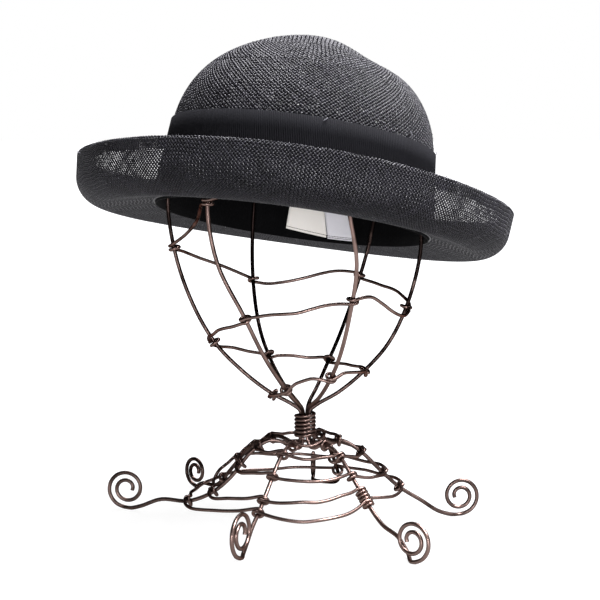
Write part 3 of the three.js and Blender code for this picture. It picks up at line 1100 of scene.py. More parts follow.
@dataclass(frozen=True)
class Strands:
    """Strands of straw by strand and step.

    The corners of each section, whether it is kept, its shade, and 1 where it is over or -1 where it is
    under.
    """

    corners: Array
    kept: Array
    shade: Array
    over: Array

    def part(self, rows: Array) -> "Strands":
        """Some of the strands."""
        return Strands(self.corners[rows], self.kept[rows], self.shade[rows], self.over[rows])

    def mesh(self, name: str) -> bpy.types.Mesh:
        """Makes one mesh of closed strips.

        Args:
            name: The mesh's name.

        Returns:
            The mesh, with a map for baking, the place in the straw's fibres and the shade.
        """
        rows, columns = self.kept.shape
        sides = self.corners.shape[2]
        first = np.full(self.kept.shape, -1)
        first[self.kept] = np.arange(self.kept.sum()) * sides
        linked = self.kept[:, :-1] & self.kept[:, 1:]
        start, end = first[:, :-1][linked], first[:, 1:][linked]
        side = np.repeat(np.arange(sides), len(start))
        near, far = np.tile(start, sides), np.tile(end, sides)
        onward = (side + 1) % sides
        walls = np.stack([near + side, near + onward, far + onward, far + side], axis=-1)
        padded = np.pad(self.kept, ((0, 0), (1, 1)))
        corner = np.arange(sides)
        heads = first[self.kept & ~padded[:, :-2]][:, None] + corner[::-1]
        tails = first[self.kept & ~padded[:, 2:]][:, None] + corner
        caps = np.concatenate([heads, tails])

        mesh = bpy.data.meshes.new(name)
        points = SEAT.to_part(self.corners[self.kept].reshape(-1, 3)) * MM
        mesh.from_pydata(points.tolist(), [], walls.tolist() + caps.tolist())
        row, column = np.nonzero(self.kept)
        place = np.broadcast_arrays(column[:, None], corner, row[:, None])
        fibre = np.stack(place, axis=-1).astype(float)
        mesh.attributes.new("fibre", "FLOAT_VECTOR", "POINT").data.foreach_set("vector", fibre.ravel())
        for key, values in {"shade": self.shade, "over": self.over}.items():
            each = np.repeat(values[self.kept], sides)
            mesh.attributes.new(key, "FLOAT", "POINT").data.foreach_set("value", each)
        across = np.concatenate([(side[:, None] + np.array([0, 1, 1, 0])).ravel(), caps.ravel() % sides])
        strip = np.concatenate([walls.ravel(), caps.ravel()]) // sides
        uv = np.stack([column[strip] / columns, (row[strip] + across / sides) / rows], axis=-1)
        mesh.uv_layers.new(name=BAKE_UV).uv.foreach_set("vector", uv.ravel())
        mesh.shade_smooth()
        return mesh


@dataclass(frozen=True)
class Weave:
    """A plain weave of straw strands, uneven as hand-made straw cloth is. Millimetres and degrees.

    A strand fills a share of its room, has a ridge along its outer side, and is split off into parts so that
    no piece grows too large.
    """

    name: str
    form: Form
    node: str
    seed: int
    parts: int = 1
    fill: float = 0.78
    swell: float = 0.1
    thickness: float = 0.3
    crimp: float = 0.28
    uneven_place: float = 0.07
    uneven_width: float = 0.12
    width_range: tuple[float, float] = (0.6, 1.3)
    slub: float = 0.14
    slub_reach: int = 9
    twist: float = 13.0
    twist_reach: int = 5
    shade_range: tuple[float, float] = (0.15, 0.85)
    shade_drift: float = 0.25
    shade_reach: int = 6
    wander: float = 0.5
    wander_length: float = 55.0
    waves: int = 4
    shortest: int = 4
    nudge: float = 0.05

    def pull(self, plan: Array, rng: np.random.Generator) -> Array:
        """How far the strands are drawn aside, slowly over the cloth.

        Args:
            plan: Points of the cloth as seen from above.
            rng: What the pull is drawn from.

        Returns:
            A shift of the flat cloth for each point.
        """
        moved = np.zeros_like(plan)
        for heading, aim, phase in rng.uniform(0, 2 * math.pi, (self.waves, 3)):
            way = plan @ np.array([math.cos(heading), math.sin(heading)])
            wave = np.sin(way * 2 * math.pi / self.wander_length + phase) * self.wander / 2
            moved += wave[..., None] * np.array([math.cos(aim), math.sin(aim)])
        return moved

    def strands(self, family: Family) -> Strands:
        """Works out one family of strands.

        Args:
            family: Which of the two.

        Returns:
            The strands, in the hat's frame.
        """
        rng = np.random.default_rng(self.seed)
        lay = self.form.lay(family, self.uneven_place, rng)
        flat = lay.flat + self.pull(self.form.spread(lay.flat)[..., :2], rng)
        across, upward = (
            (self.form.spread(flat + shift) - self.form.spread(flat - shift)) / (2 * self.nudge)
            for shift in self.nudge * np.eye(2)
        )
        face = np.cross(across, upward)
        normal = unit(face) * self.form.outward
        middle = self.form.spread(flat)
        steps = np.gradient(middle, axis=1)
        stretch = np.linalg.norm(steps, axis=-1) / np.linalg.norm(np.gradient(flat, axis=1), axis=-1)
        room = lay.gap * np.linalg.norm(face, axis=-1) / stretch
        side = unit(np.cross(normal, steps))

        draw = np.random.default_rng((self.seed, family.value))
        shape = room.shape
        spread = draw.normal(1, self.uneven_width, (shape[0], 1))
        spread = spread + self.slub * smooth_noise(draw, *shape, self.slub_reach)
        share = np.clip(spread + self.swell * lay.over, *self.width_range)
        half = (self.fill * room * share)[..., None] / 2
        lean = np.radians(self.twist) * smooth_noise(draw, *shape, self.twist_reach)[..., None]
        flatways = side * np.cos(lean) + normal * np.sin(lean)
        upways = (normal * np.cos(lean) - side * np.sin(lean)) * self.thickness / 2
        middle = middle + normal * (self.crimp * lay.over)[..., None]
        corners = [middle - upways - flatways * half, middle - upways + flatways * half, middle + upways]
        shade = draw.uniform(*self.shade_range, (shape[0], 1))
        shade = shade + self.shade_drift * smooth_noise(draw, *shape, self.shade_reach)
        kept = self.without_bits(self.form.holds(flat))
        return Strands(np.stack(corners, axis=2), kept, np.clip(shade, 0, 1), lay.over)

    def without_bits(self, held: Array) -> Array:
        """Leaves out runs of a few steps.

        Args:
            held: Whether the cloth reaches to each step.

        Returns:
            Whether each step is kept.
        """
        kept = held.copy()
        for row in kept:
            edges = np.flatnonzero(np.diff(np.concatenate([[0], row.astype(int), [0]])))
            for start, end in edges.reshape(-1, 2):
                if end - start < self.shortest:
                    row[start:end] = False
        return kept

    def dress(self, straw: bpy.types.Material) -> None:
        """Adds both families of strands to the scene.

        Args:
            straw: Their material.
        """
        for family in Family:
            strands = self.strands(family)
            for part, rows in enumerate(np.array_split(np.arange(len(strands.kept)), self.parts)):
                name = f"{self.name}_{family.name.lower()}_{part + 1}"
                add_piece(name, strands.part(rows).mesh(name), straw, [self.node])


@dataclass(frozen=True)
class Band:
    """A band round the crown's wall with upright ribs, in millimetres of the hat's frame.

    Its faces stand out from the crown's outer face, and its ribs lean by degrees.
    """

    name: str
    node: str
    bottom: float
    top: float
    inner: float
    outer: float
    rib_pitch: float
    rib_height: float
    ribs_inside: bool
    slot: Slot
    lean: float = 0.0
    rows: int = 6
    steps_in_rib: int = 4
    edge: float = 0.35

    def length(self) -> float:
        """How long the band is round the crown."""
        half = CROWN.half_width + self.outer
        return 2 * math.pi * math.sqrt((half**2 + (half * CROWN.oval) ** 2) / 2)

    def build(self) -> bpy.types.Mesh:
        """Makes the plain band.

        Returns:
            Its mesh, with the attributes that its ribs follow.
        """
        ribs = round(self.length() / self.rib_pitch)
        places = np.arange(ribs * self.steps_in_rib)
        rise = np.linspace(self.bottom, self.top, self.rows)
        height = np.concatenate([rise, rise[::-1]])
        offset = np.repeat([self.outer, self.inner], self.rows)
        lean = math.tan(math.radians(self.lean)) * height / CROWN.half_length
        angle = places[:, None] / len(places) * 2 * math.pi + lean
        mesh = wrapped_mesh(self.name, SEAT.to_part(CROWN.ring(height, offset, angle)))
        face = np.repeat([1.0, 0.0], self.rows)
        if self.ribs_inside:
            face = 1 - face
        face[[0, self.rows - 1, self.rows, -1]] *= self.edge
        rib = np.broadcast_to(places[:, None] / self.steps_in_rib, (len(places), 2 * self.rows))
        raised = np.broadcast_to(face, rib.shape)
        mesh.attributes.new("rib", "FLOAT", "POINT").data.foreach_set("value", rib.ravel().astype(float))
        mesh.attributes.new("raise", "FLOAT", "POINT").data.foreach_set("value", raised.ravel())
        return mesh

    def dress(self, tree: GeometryTree, cloth: bpy.types.Material) -> None:
        """Raises the ribs and adds the band to the scene.

        Args:
            tree: What raises ribs on a band.
            cloth: The band's material.
        """
        mesh = tree.grow(self.build(), cloth, {"Rib height": self.rib_height * MM})
        piece = add_piece(self.name, mesh, cloth, [self.node])


@dataclass(frozen=True)
class CrownWall:
    """The plain lower wall of the crown, between the ribbon and the sweatband."""

    bottom: float = 0.35
    top: float = CROWN.cloth_edge + CROWN.lap
    thickness: float = 0.9
    rows: int = 6
    around: int = 180

    def dress(self, straw: bpy.types.Material) -> None:
        """Builds the wall and adds it to the scene.

        Args:
            straw: Its material.
        """
        rise = np.linspace(self.bottom, self.top, self.rows)
        height = np.concatenate([rise, rise[::-1]])
        outer = -(CROWN.straw - self.thickness) / 2
        offset = np.repeat([outer, outer - self.thickness], self.rows)
        angle = np.arange(self.around)[:, None] / self.around * 2 * math.pi
        mesh = wrapped_mesh("crown_wall", SEAT.to_part(CROWN.ring(height, offset, angle)))
        add_piece("crown_wall", mesh, straw, ["crown"])


@dataclass(frozen=True)
class Label:
    """A bare folded label on the sweatband at the back: x along the band, tilt in degrees.

    Its left and right edges lean so far to the left for each millimetre upwards. Its layers lie behind the
    crown's outer face, each lifted off the one before it and a step shorter, and curl off at the lower edge.
    """

    name: str
    x: float
    width: float
    bottom: float
    top: float
    tilt: float
    leans: tuple[float, float]
    slot: Slot
    layers: int = 2
    behind: float = 3.5
    layer: float = 0.3
    lift: float = 0.75
    step: float = 1.5
    curl: float = 0.5
    curl_middle: float = 0.4
    # The stitches under the upper layers' lower edges are near black: a painted shade line in each crease.
    stitch: float = 1.1
    stitch_overlap: float = 1.2
    thread: float = 0.45
    columns: int = 15
    rows: int = 12

    def sheet(self, bottom: float, inset: float) -> tuple[Array, Array]:
        """The front and back of one layer of the label.

        Args:
            bottom: The height of its lower edge.
            inset: How far its front lies inside the crown's outer face.

        Returns:
            Two grids of points in the part's frame.
        """
        across, up = np.meshgrid(np.linspace(-0.5, 0.5, self.columns), np.linspace(0, 1, self.rows))
        lean = self.leans[0] * (0.5 - across) + self.leans[1] * (0.5 + across)
        x = self.x + across * self.width - up * (self.top - bottom) * lean
        z = bottom + up * (self.top - bottom) - across * self.width * math.tan(math.radians(self.tilt))
        half = CROWN.half_width_at(z) - inset
        curl = self.curl * (1 - up) ** 2 * (self.curl_middle + np.abs(across))
        y = np.sqrt(1 - (x / half) ** 2) * half * CROWN.oval
        front = SEAT.to_part(np.stack([x, y - curl, z], axis=-1))
        back = SEAT.to_part(np.stack([x, y - curl + self.layer, z], axis=-1))
        return front, back

    def dress(self, cloth: bpy.types.Material, tree: GeometryTree, thread: bpy.types.Material) -> None:
        """Adds the label's layers to the scene, and near-black stitches along the lower edges of the upper
        ones, a painted shade line in the crease under each edge.

        Args:
            cloth: The label's material.
            tree: What grows stitches along a path.
            thread: The stitches' material, near black: a painted shade line.
        """
        # Near-black stitches under each upper layer's lower edge paint the shade in the crease there.
        shade_lines = []
        for place in range(self.layers):
            name = f"{self.name}_layer_{place + 1}"
            bottom = self.bottom + self.step * place
            front, back = self.sheet(bottom, self.behind + self.lift * place)
            piece = add_piece(name, slab_mesh(name, front, back), cloth, [self.name])
            if place > 0:
                shade_lines.append((front[0] + back[0]) / 2)
        sizes = {
            "Spacing": self.stitch * MM,
            "Stitch length": self.stitch * self.stitch_overlap * MM,
            "Thread": self.thread * MM,
        }
        name = f"{self.name}_stitches"
        add_piece(name, tree.grow(path_mesh(shade_lines), thread, sizes), thread, [self.name])


@dataclass(frozen=True)
class Tack:
    """A small loop of thread or straw that stands off the hat.

    Where it starts, in the part's frame, and where it goes from there.
    """

    name: str
    node: str
    slot: Slot
    start: Triple
    turns: tuple[Triple, ...]
    radius: float = 0.25
    sides: int = 6
    steps: int = 4

    def dress(self, tree: GeometryTree, material: bpy.types.Material) -> None:
        """Adds the loop to the scene.

        Args:
            tree: What makes a round thread of a path.
            material: Its material.
        """
        route = smooth_path(np.array(self.start) + np.array(((0.0, 0.0, 0.0), *self.turns)), self.steps)
        mesh = tree.grow(path_mesh([route]), material, {"Wire radius": self.radius * MM, "Sides": self.sides})
        add_piece(self.name, mesh, material, [self.node])


TACKS = (
    Tack("ribbon_tack_front", "ribbon_band", Slot.RIBBON, start=(15.4, -91.6, 246.6),
         turns=((0.4, -1.0, 0.6), (1.2, -1.0, 1.0), (2.2, -0.8, 1.7), (2.6, 0.4, 2.2))),
    Tack("ribbon_tack_right", "ribbon_band", Slot.RIBBON, start=(65.2, -56.4, 236.6),
         turns=((0.8, -1.0, 0.2), (0.9, -1.3, 1.4), (1.1, -1.2, 2.6), (0.4, -1.0, 3.3), (-0.3, 0.2, 3.0))),
    Tack("rim_nib_right", "brim", Slot.STRAW, start=(80.2, -117.4, 215.8),
         turns=((0.3, -0.5, 1.0), (0.9, -0.4, 2.0), (1.6, -0.2, 2.9))),
    Tack("ribbon_nib_right", "ribbon_band", Slot.RIBBON, start=(82.3, -18.4, 224.6),
         turns=((0.8, -0.3, 0.6), (1.2, -0.3, 1.6), (0.7, 0.0, 2.6))),
    Tack("rim_nib_left", "brim", Slot.STRAW, start=(-123.4, -42.7, 226.8),
         turns=((-0.7, -0.2, 0.6), (-1.4, -0.3, 1.0), (-2.0, -0.2, 1.7))),
)


@dataclass(frozen=True)
class MainWire:
    """One wire of the stand.

    Its degrees about the axis at the hat, low down, in the neck, as a leg and at its foot; how far out it
    stands; the degrees and size of its scroll; how its leg sags and is bent up again; by how many degrees its
    rib is bent aside, at what height; and its own painted light, lighter above 0 and painted shade below 0.
    """

    name: str
    rib: float
    low: float
    neck: float
    leg: float
    foot: float
    reach: float
    scroll: float
    size: float
    sag: float = 0.0
    hump: float = 0.0
    aside: float = 0.0
    aside_height: float = 0.0
    painted_light: float = 0.0


@dataclass(frozen=True)
class Tie:
    """A turn of thin wire round a main wire, at a height on the cage, and the span that leads to it.

    The span has points that are bent up or down, and is drawn in towards the axis by a share of its radius.
    """

    wire: int
    height: float
    lifts: tuple[float, ...] = (0.0, 0.0, 0.0)
    drawn_in: float = 0.0


@dataclass(frozen=True)
class Turn:
    """The points of a tie's turns, and the span that leads to it."""

    points: list[Array]
    lifts: tuple[float, ...]
    drawn_in: float


RIGHT, BACK_RIGHT, BACK_LEFT, LEFT, FRONT_LEFT, FRONT_RIGHT = range(6)


@dataclass(frozen=True)
class Stand:
    """The stand of bent wire, in millimetres about its own axis.

    The cage is given by heights and the radius at each, and the legs by radii and the height at each. The
    skirt has rows of radii where the thin wire is tied to the legs in turn. The knot is the tie with more
    turns: its wire, its radius and how many. The tail is the thin wire's loose end: degrees back and
    millimetres up.
    """

    axis: Triple = (6.0, 0.15, 0.0)
    wire: float = 1.25
    thin: float = 1.05
    sides: int = 10
    wire_steps: int = 6
    thin_steps: int = 4
    foot_height: float = 0.85
    lean: float = -0.046
    ring_height: float = 66.0
    ring_steps: int = 96
    neck_bottom: float = 51.0
    neck_top: float = 68.0
    cage: tuple[tuple[float, float], ...] = (
        (72, 7), (80, 21), (93, 37), (110, 52.5), (134, 65), (165, 74), (200, 76.5),
    )
    legs: tuple[tuple[float, float], ...] = (
        (3.2, 50), (5.2, 47.2), (9.5, 46.8), (15, 49.4), (22, 50), (33, 44), (46, 31.5), (58, 20.5),
        (72, 11.5),
    )
    foot_shares: tuple[float, ...] = (0.4, 0.75)
    scroll_turns: float = 1.8
    scroll_eye: float = 0.3
    scroll_step: float = 36.0
    leg_spread: float = 15.0
    leg_swing: float = 3.0
    sag_radius: float = 50.0
    sag_reach: float = 14.0
    aside_reach: float = 26.0
    skirt_order: tuple[int, ...] = (FRONT_LEFT, FRONT_RIGHT, RIGHT, BACK_RIGHT, BACK_LEFT, LEFT)
    skirt_rows: tuple[tuple[float, ...], ...] = (
        (16, 18, 20.5, 22.5, 25, 27.5),
        (29, 32.5, 34, 36, 38, 39),
        (42, 43, 47.5, 49, 52, 56),
        (54.5, 53, 57.5, 61, 66, 71.5),
        (62, 58),
    )
    skirt_lifts: tuple[float, ...] = (-1.5, -1.5)
    skirt_slack: float = 0.05
    last_lifts: tuple[float, ...] = (-4.0, -4.0)
    last_slack: float = 0.11
    knot: tuple[int, float, int] = (FRONT_RIGHT, 53, 3)
    tail: tuple[tuple[float, float], ...] = ((22, 9), (10, 4))
    tie_steps: int = 8
    tie_step: float = 55.0
    tie_climb: float = 1.2
    coil_steps: int = 24
    span_points: int = 7
    wave: float = 0.5
    wave_length: float = 40.0
    wave_bends: tuple[float, float] = (1.2, 2.4)
    wave_sizes: tuple[float, float] = (0.5, 1.4)
    # Each wire's own painted light: lighter above 0, painted shade below 0.
    ring_painted_light: float = 0.0
    neck_painted_light: float = 0.1
    cage_painted_light: float = 0.45
    skirt_painted_light: float = 0.1
    seed: int = 11
    # Each wire below carries its own painted light: lighter above 0, painted shade below 0.
    wires: tuple[MainWire, ...] = (
        MainWire("right", rib=0, low=0, neck=0, leg=0, foot=7, reach=97, scroll=8, size=11.9, painted_light=-0.25),
        MainWire("back_right", rib=46, low=69, neck=60, leg=66, foot=87, reach=109, scroll=86, size=10,
                 painted_light=-0.2),
        MainWire("back_left", rib=109.2, low=124, neck=120, leg=145, foot=129, reach=115, scroll=134, size=10,
                 sag=-6, hump=8, painted_light=-0.25),
        MainWire("left", rib=180, low=180, neck=180, leg=180, foot=165.5, reach=116, scroll=172, size=12.4,
                 sag=5.5, hump=10),
        MainWire("front_left", rib=230.7, low=250.5, neck=240, leg=242, foot=248.4, reach=98, scroll=246,
                 size=14, aside=-4.7, aside_height=170, painted_light=0.4),
        MainWire("front_right", rib=293.5, low=295.5, neck=300, leg=311, foot=301, reach=116, scroll=322,
                 size=12.2, hump=6, aside=3.2, aside_height=158, painted_light=0.6),
    )
    ties: tuple[Tie, ...] = (
        Tie(FRONT_LEFT, 200),
        Tie(LEFT, 168.5, drawn_in=0.14),
        Tie(BACK_LEFT, 142.5, (3, 3.5, 2)),
        Tie(BACK_RIGHT, 145, (-2.7, 0, 1.8)),
        Tie(RIGHT, 132),
        Tie(FRONT_RIGHT, 144, (-2, -5.4, 0)),
        Tie(FRONT_LEFT, 132.5, (1.6, 0.5, 0.5)),
        Tie(LEFT, 111),
        Tie(BACK_LEFT, 98),
        Tie(BACK_RIGHT, 95, (1, 0, 0)),
        Tie(RIGHT, 93),
        Tie(FRONT_RIGHT, 95, (3.6, 3, 3.5)),
        Tie(FRONT_LEFT, 86, (3.5, 4.5, 3.5)),
        Tie(LEFT, 78.5),
    )

    @property
    def neck_radius(self) -> float:
        """The radius of the ring of strands in the neck."""
        return 2 * self.wire + FIT_GAP

    @property
    def coil_pitch(self) -> float:
        """The rise of one turn of the neck's coil."""
        return 2 * self.thin + FIT_GAP

    @property
    def tie_reach(self) -> float:
        """The radius of a tie's turn."""
        return self.wire + self.thin + 2 * FIT_GAP

    def rib_point(self, wire: MainWire, height: float) -> Array:
        """A point of a rib above the neck.

        Args:
            wire: The rib's wire.
            height: The height above the floor.

        Returns:
            The point about the stand's axis.
        """
        heights, radii = zip(*self.cage)
        share = (height - heights[0]) / (heights[-1] - heights[0])
        aside = wire.aside * math.exp(-(((height - wire.aside_height) / self.aside_reach) ** 2))
        angle = math.radians(wire.low + (wire.rib - wire.low) * share + aside)
        point = polar(np.interp(height, heights, radii), angle, height)
        return point + np.array([self.lean * (height - self.neck_top), 0, 0])

    def leg_angle(self, wire: MainWire, radius: float) -> float:
        """The way a leg has turned.

        Args:
            wire: The leg's wire.
            radius: How far out along the leg.

        Returns:
            The angle about the stand's axis, in radians.
        """
        heading = wire.neck + (wire.leg - wire.neck) * min(1.0, radius / self.leg_spread)
        swing = (radius / wire.reach) ** self.leg_swing
        return math.radians(heading + (wire.foot - heading) * swing)

    def leg_point(self, wire: MainWire, radius: float) -> Array:
        """A point of a leg at a radius within the skirt."""
        drop = wire.sag * math.exp(-(((radius - self.sag_radius) / self.sag_reach) ** 2))
        return polar(radius, self.leg_angle(wire, radius), np.interp(radius, *zip(*self.legs)) - drop)

    def foot_points(self, wire: MainWire) -> list[Array]:
        """The end of a leg: down to the floor, then up and round into a scroll.

        Args:
            wire: The leg's wire.

        Returns:
            Points about the stand's axis.
        """
        edge_radius, edge_height = self.legs[-1]
        points = []
        for share in self.foot_shares:
            radius = edge_radius + (wire.reach - edge_radius) * share
            height = edge_height + (self.foot_height - edge_height) * (1 - (1 - share) ** 2)
            height += wire.hump * (1 - share)
            points.append(polar(radius, self.leg_angle(wire, radius), height))
        outward = polar(1.0, math.radians(wire.scroll), 0.0)
        eye = polar(wire.reach, math.radians(wire.foot), self.foot_height + wire.size)
        whole = self.scroll_turns * 360
        for turn in np.arange(0, whole + 1e-6, self.scroll_step):
            size = wire.size * (1 + (self.scroll_eye - 1) * turn / whole)
            angle = math.radians(turn - 90)
            points.append(eye + outward * size * math.cos(angle) + np.array([0, 0, size * math.sin(angle)]))
        return points

    def ring_point(self, angle: Array) -> Array:
        """The ring that the hat sits on.

        Args:
            angle: Angles about the hat.

        Returns:
            Points about the stand's axis.
        """
        inset = CROWN.straw + self.wire + 2 * FIT_GAP
        points = CROWN.ring(np.array(self.ring_height), -inset, angle)
        return SEAT.to_part(CROWN.dented(points)) - np.array(self.axis)

    def main_route(self, wire: MainWire) -> Array:
        """The way of a main wire, from the ring down to the scroll.

        Args:
            wire: The wire.

        Returns:
            Its points about the stand's axis.
        """
        tip = self.ring_point(math.radians(wire.rib)) - np.array([0, 0, self.wire + FIT_GAP])
        rib = [self.rib_point(wire, height) for height, _ in reversed(self.cage)]
        turned = math.radians(wire.neck)
        neck = [polar(self.neck_radius, turned, height) for height in (self.neck_top, self.neck_bottom)]
        leg = [self.leg_point(wire, radius) for radius, _ in self.legs]
        return np.array([tip, (tip + rib[0]) / 2, *rib, *neck, *leg, *self.foot_points(wire)])

    @staticmethod
    def heading(route: Array, point: Array) -> Array:
        """The direction of a route where it passes a point.

        Args:
            route: The route's points.
            point: The point.

        Returns:
            A direction, one long.
        """
        steps = np.diff(route, axis=0)
        share = np.einsum("ij,ij->i", point - route[:-1], steps) / np.einsum("ij,ij->i", steps, steps)
        near = route[:-1] + np.clip(share, 0, 1)[:, None] * steps
        return unit(steps[np.linalg.norm(near - point, axis=1).argmin()])

    def tie_turn(self, place: Array, along: Array, hint: Array, sign: float, turns: int = 1) -> list[Array]:
        """Turns of thin wire round a main wire, which come and go on its outer side.

        Args:
            place: The middle of the main wire there.
            along: The direction of the main wire.
            hint: A direction to its outer side.
            sign: Which way the thin wire travels.
            turns: How many turns.

        Returns:
            The points of the turns.
        """
        outer = unit(hint - along * hint.dot(along))
        travel = np.cross(along, outer) * sign
        steps = self.tie_steps + round((turns - 1) * 360 / self.tie_step)
        climb = self.tie_climb * self.coil_pitch * steps / self.tie_steps
        points = []
        for step in range(steps + 1):
            angle = math.radians(self.tie_step * (step - steps / 2) + 180)
            shift = climb * (step / steps - 0.5)
            round_wire = outer * math.cos(angle) + travel * math.sin(angle)
            points.append(place + self.tie_reach * round_wire + along * shift)
        return points

    def span(self, start: Array, turn: Turn, rng: np.random.Generator) -> list[Array]:
        """The wire that leads to a tie: round the axis, with its bends and a slow hand-made wave.

        Args:
            start: Where the wire comes from.
            turn: The tie that it leads to.
            rng: What the wave is drawn from.

        Returns:
            The points in between.
        """
        end = turn.points[0]
        first = math.atan2(start[1], start[0])
        sweep = (math.atan2(end[1], end[0]) - first + math.pi) % (2 * math.pi) - math.pi
        share = np.arange(1, self.span_points + 1) / (self.span_points + 1)
        knots = np.linspace(0, 1, len(turn.lifts) + 2)
        bend = np.polyfit(knots, [0, *turn.lifts, 0], len(knots) - 1)
        bends = rng.uniform(*self.wave_bends)
        wave = np.sin(2 * math.pi * (bends * share + rng.uniform())) * rng.uniform(*self.wave_sizes)
        swell = np.sin(math.pi * share)
        near, far = np.hypot(start[0], start[1]), np.hypot(end[0], end[1])
        radius = (near + (far - near) * share) * (1 - turn.drawn_in * swell)
        size = self.wave * min(1.0, abs(sweep) * near / self.wave_length)
        height = start[2] + (end[2] - start[2]) * share + np.polyval(bend, share) + size * wave * swell
        return list(polar(radius, first + sweep * share, height))

    def tied(self, turns: Sequence[Turn], seed: int) -> list[Array]:
        """A thin wire: its ties and the spans that lead to them.

        Args:
            turns: The ties, in order.
            seed: The seed of the spans' waves.

        Returns:
            Its points about the stand's axis.
        """
        rng = np.random.default_rng(seed)
        points = list(turns[0].points)
        for turn in turns[1:]:
            points += self.span(points[-1], turn, rng)
            points += turn.points
        return points

    def cage_spiral(self, routes: Sequence[Array]) -> Array:
        """The wire wound down the cage, from its loose end in the hat.

        Args:
            routes: The main wires' points.

        Returns:
            Its points about the stand's axis.
        """
        turns = []
        for tie in self.ties:
            place = self.rib_point(self.wires[tie.wire], tie.height)
            outer = np.array([place[0], place[1], 0])
            points = self.tie_turn(place, self.heading(routes[tie.wire], place), outer, 1)
            turns.append(Turn(points, tie.lifts, tie.drawn_in))
        x, y, z = turns[0].points[0]
        radius, angle = math.hypot(x, y), math.atan2(y, x)
        tail = [polar(radius, angle + math.radians(back), z + rise) for back, rise in self.tail]
        return np.array([*tail, *self.tied(turns, self.seed)])

    def skirt_spiral(self, routes: Sequence[Array]) -> Array:
        """The wire wound out over the skirt of legs.

        Args:
            routes: The main wires' points.

        Returns:
            Its points about the stand's axis.
        """
        up = np.array([0, 0, 1.0])
        turns = []
        for row in self.skirt_rows:
            for wire, radius in zip(self.skirt_order, row):
                place = self.leg_point(self.wires[wire], radius)
                loops = self.knot[2] if (wire, radius) == self.knot[:2] else 1
                points = self.tie_turn(place, self.heading(routes[wire], place), up, -1, loops)
                turns.append(Turn(points, self.skirt_lifts, -self.skirt_slack))
        turns[-1] = Turn(turns[-1].points, self.last_lifts, -self.last_slack)
        return np.array(self.tied(turns, self.seed + 1))

    def neck_coil(self) -> Array:
        """The close coil round the neck.

        Returns:
            Its points about the stand's axis.
        """
        radius = self.neck_radius + self.wire + self.thin + 2 * FIT_GAP
        turns = (self.neck_top - self.neck_bottom - 2 * self.thin) / self.coil_pitch
        share = np.arange(round(turns * self.coil_steps) + 1) / self.coil_steps
        return polar(radius, share * 2 * math.pi, self.neck_bottom + self.thin + self.coil_pitch * share)

    def dress(self, tree: GeometryTree, bronze: bpy.types.Material) -> None:
        """Bends every wire and adds it to the scene.

        Args:
            tree: What makes a round wire of a path.
            bronze: The wires' material.
        """
        axis = np.array(self.axis)

        def add(name: str, node: str, path: Array, radius: float, painted_light: float,
                closed: bool = False) -> None:
            """Adds one wire.

            Args:
                name: The piece's name.
                node: The solid that it stands for.
                path: Its points about the stand's axis.
                radius: The wire's radius.
                painted_light: Its own painted light: lighter above 0, painted shade below 0.
                closed: Whether the path comes back to its first point.
            """
            sizes = {"Wire radius": radius * MM, "Sides": self.sides}
            mesh = tree.grow(path_mesh([path + axis], closed), bronze, sizes)
            wear_and_painted_light = np.full(len(mesh.vertices), painted_light)
            mesh.attributes.new("painted_light", "FLOAT", "POINT").data.foreach_set("value", wear_and_painted_light)
            add_piece(name, mesh, bronze, [node])

        routes = [self.main_route(wire) for wire in self.wires]
        for wire, route in zip(self.wires, routes):
            bent = smooth_path(route, self.wire_steps)
            add(f"bent_wire_{wire.name}", f"stand_wire_{wire.name}", bent, self.wire, wire.painted_light)
        ring = self.ring_point(np.linspace(0, 2 * math.pi, self.ring_steps, endpoint=False))
        add("top_ring_wire", "stand_top_ring", ring, self.wire, self.ring_painted_light, closed=True)
        add("neck_coil_wire", "stand_neck_coil", self.neck_coil(), self.thin, self.neck_painted_light)
        cage = smooth_path(self.cage_spiral(routes), self.thin_steps)
        add("cage_spiral_wire", "stand_cage_spiral", cage, self.thin, self.cage_painted_light)
        skirt = smooth_path(self.skirt_spiral(routes), self.thin_steps)
        add("skirt_spiral_wire", "stand_skirt_spiral", skirt, self.thin, self.skirt_painted_light)


@dataclass(frozen=True)
class BroadLight:
    """A far, broad light: the direction to it, its width as seen in degrees, and its strength."""

    name: str
    towards: Triple
    width: float
    strength: float
    colour: Colour = (0.965, 0.955, 1.0)

    def add(self) -> None:
        """Hangs the light."""
        data = bpy.data.lights.new(self.name, "SUN")
        data.angle = math.radians(self.width)
        data.energy = self.strength
        data.color = self.colour
        lamp = bpy.data.objects.new(self.name, data)
        lamp.rotation_euler = (-Vector(self.towards)).to_track_quat("-Z", "Y").to_euler()
        bpy.context.scene.collection.objects.link(lamp)


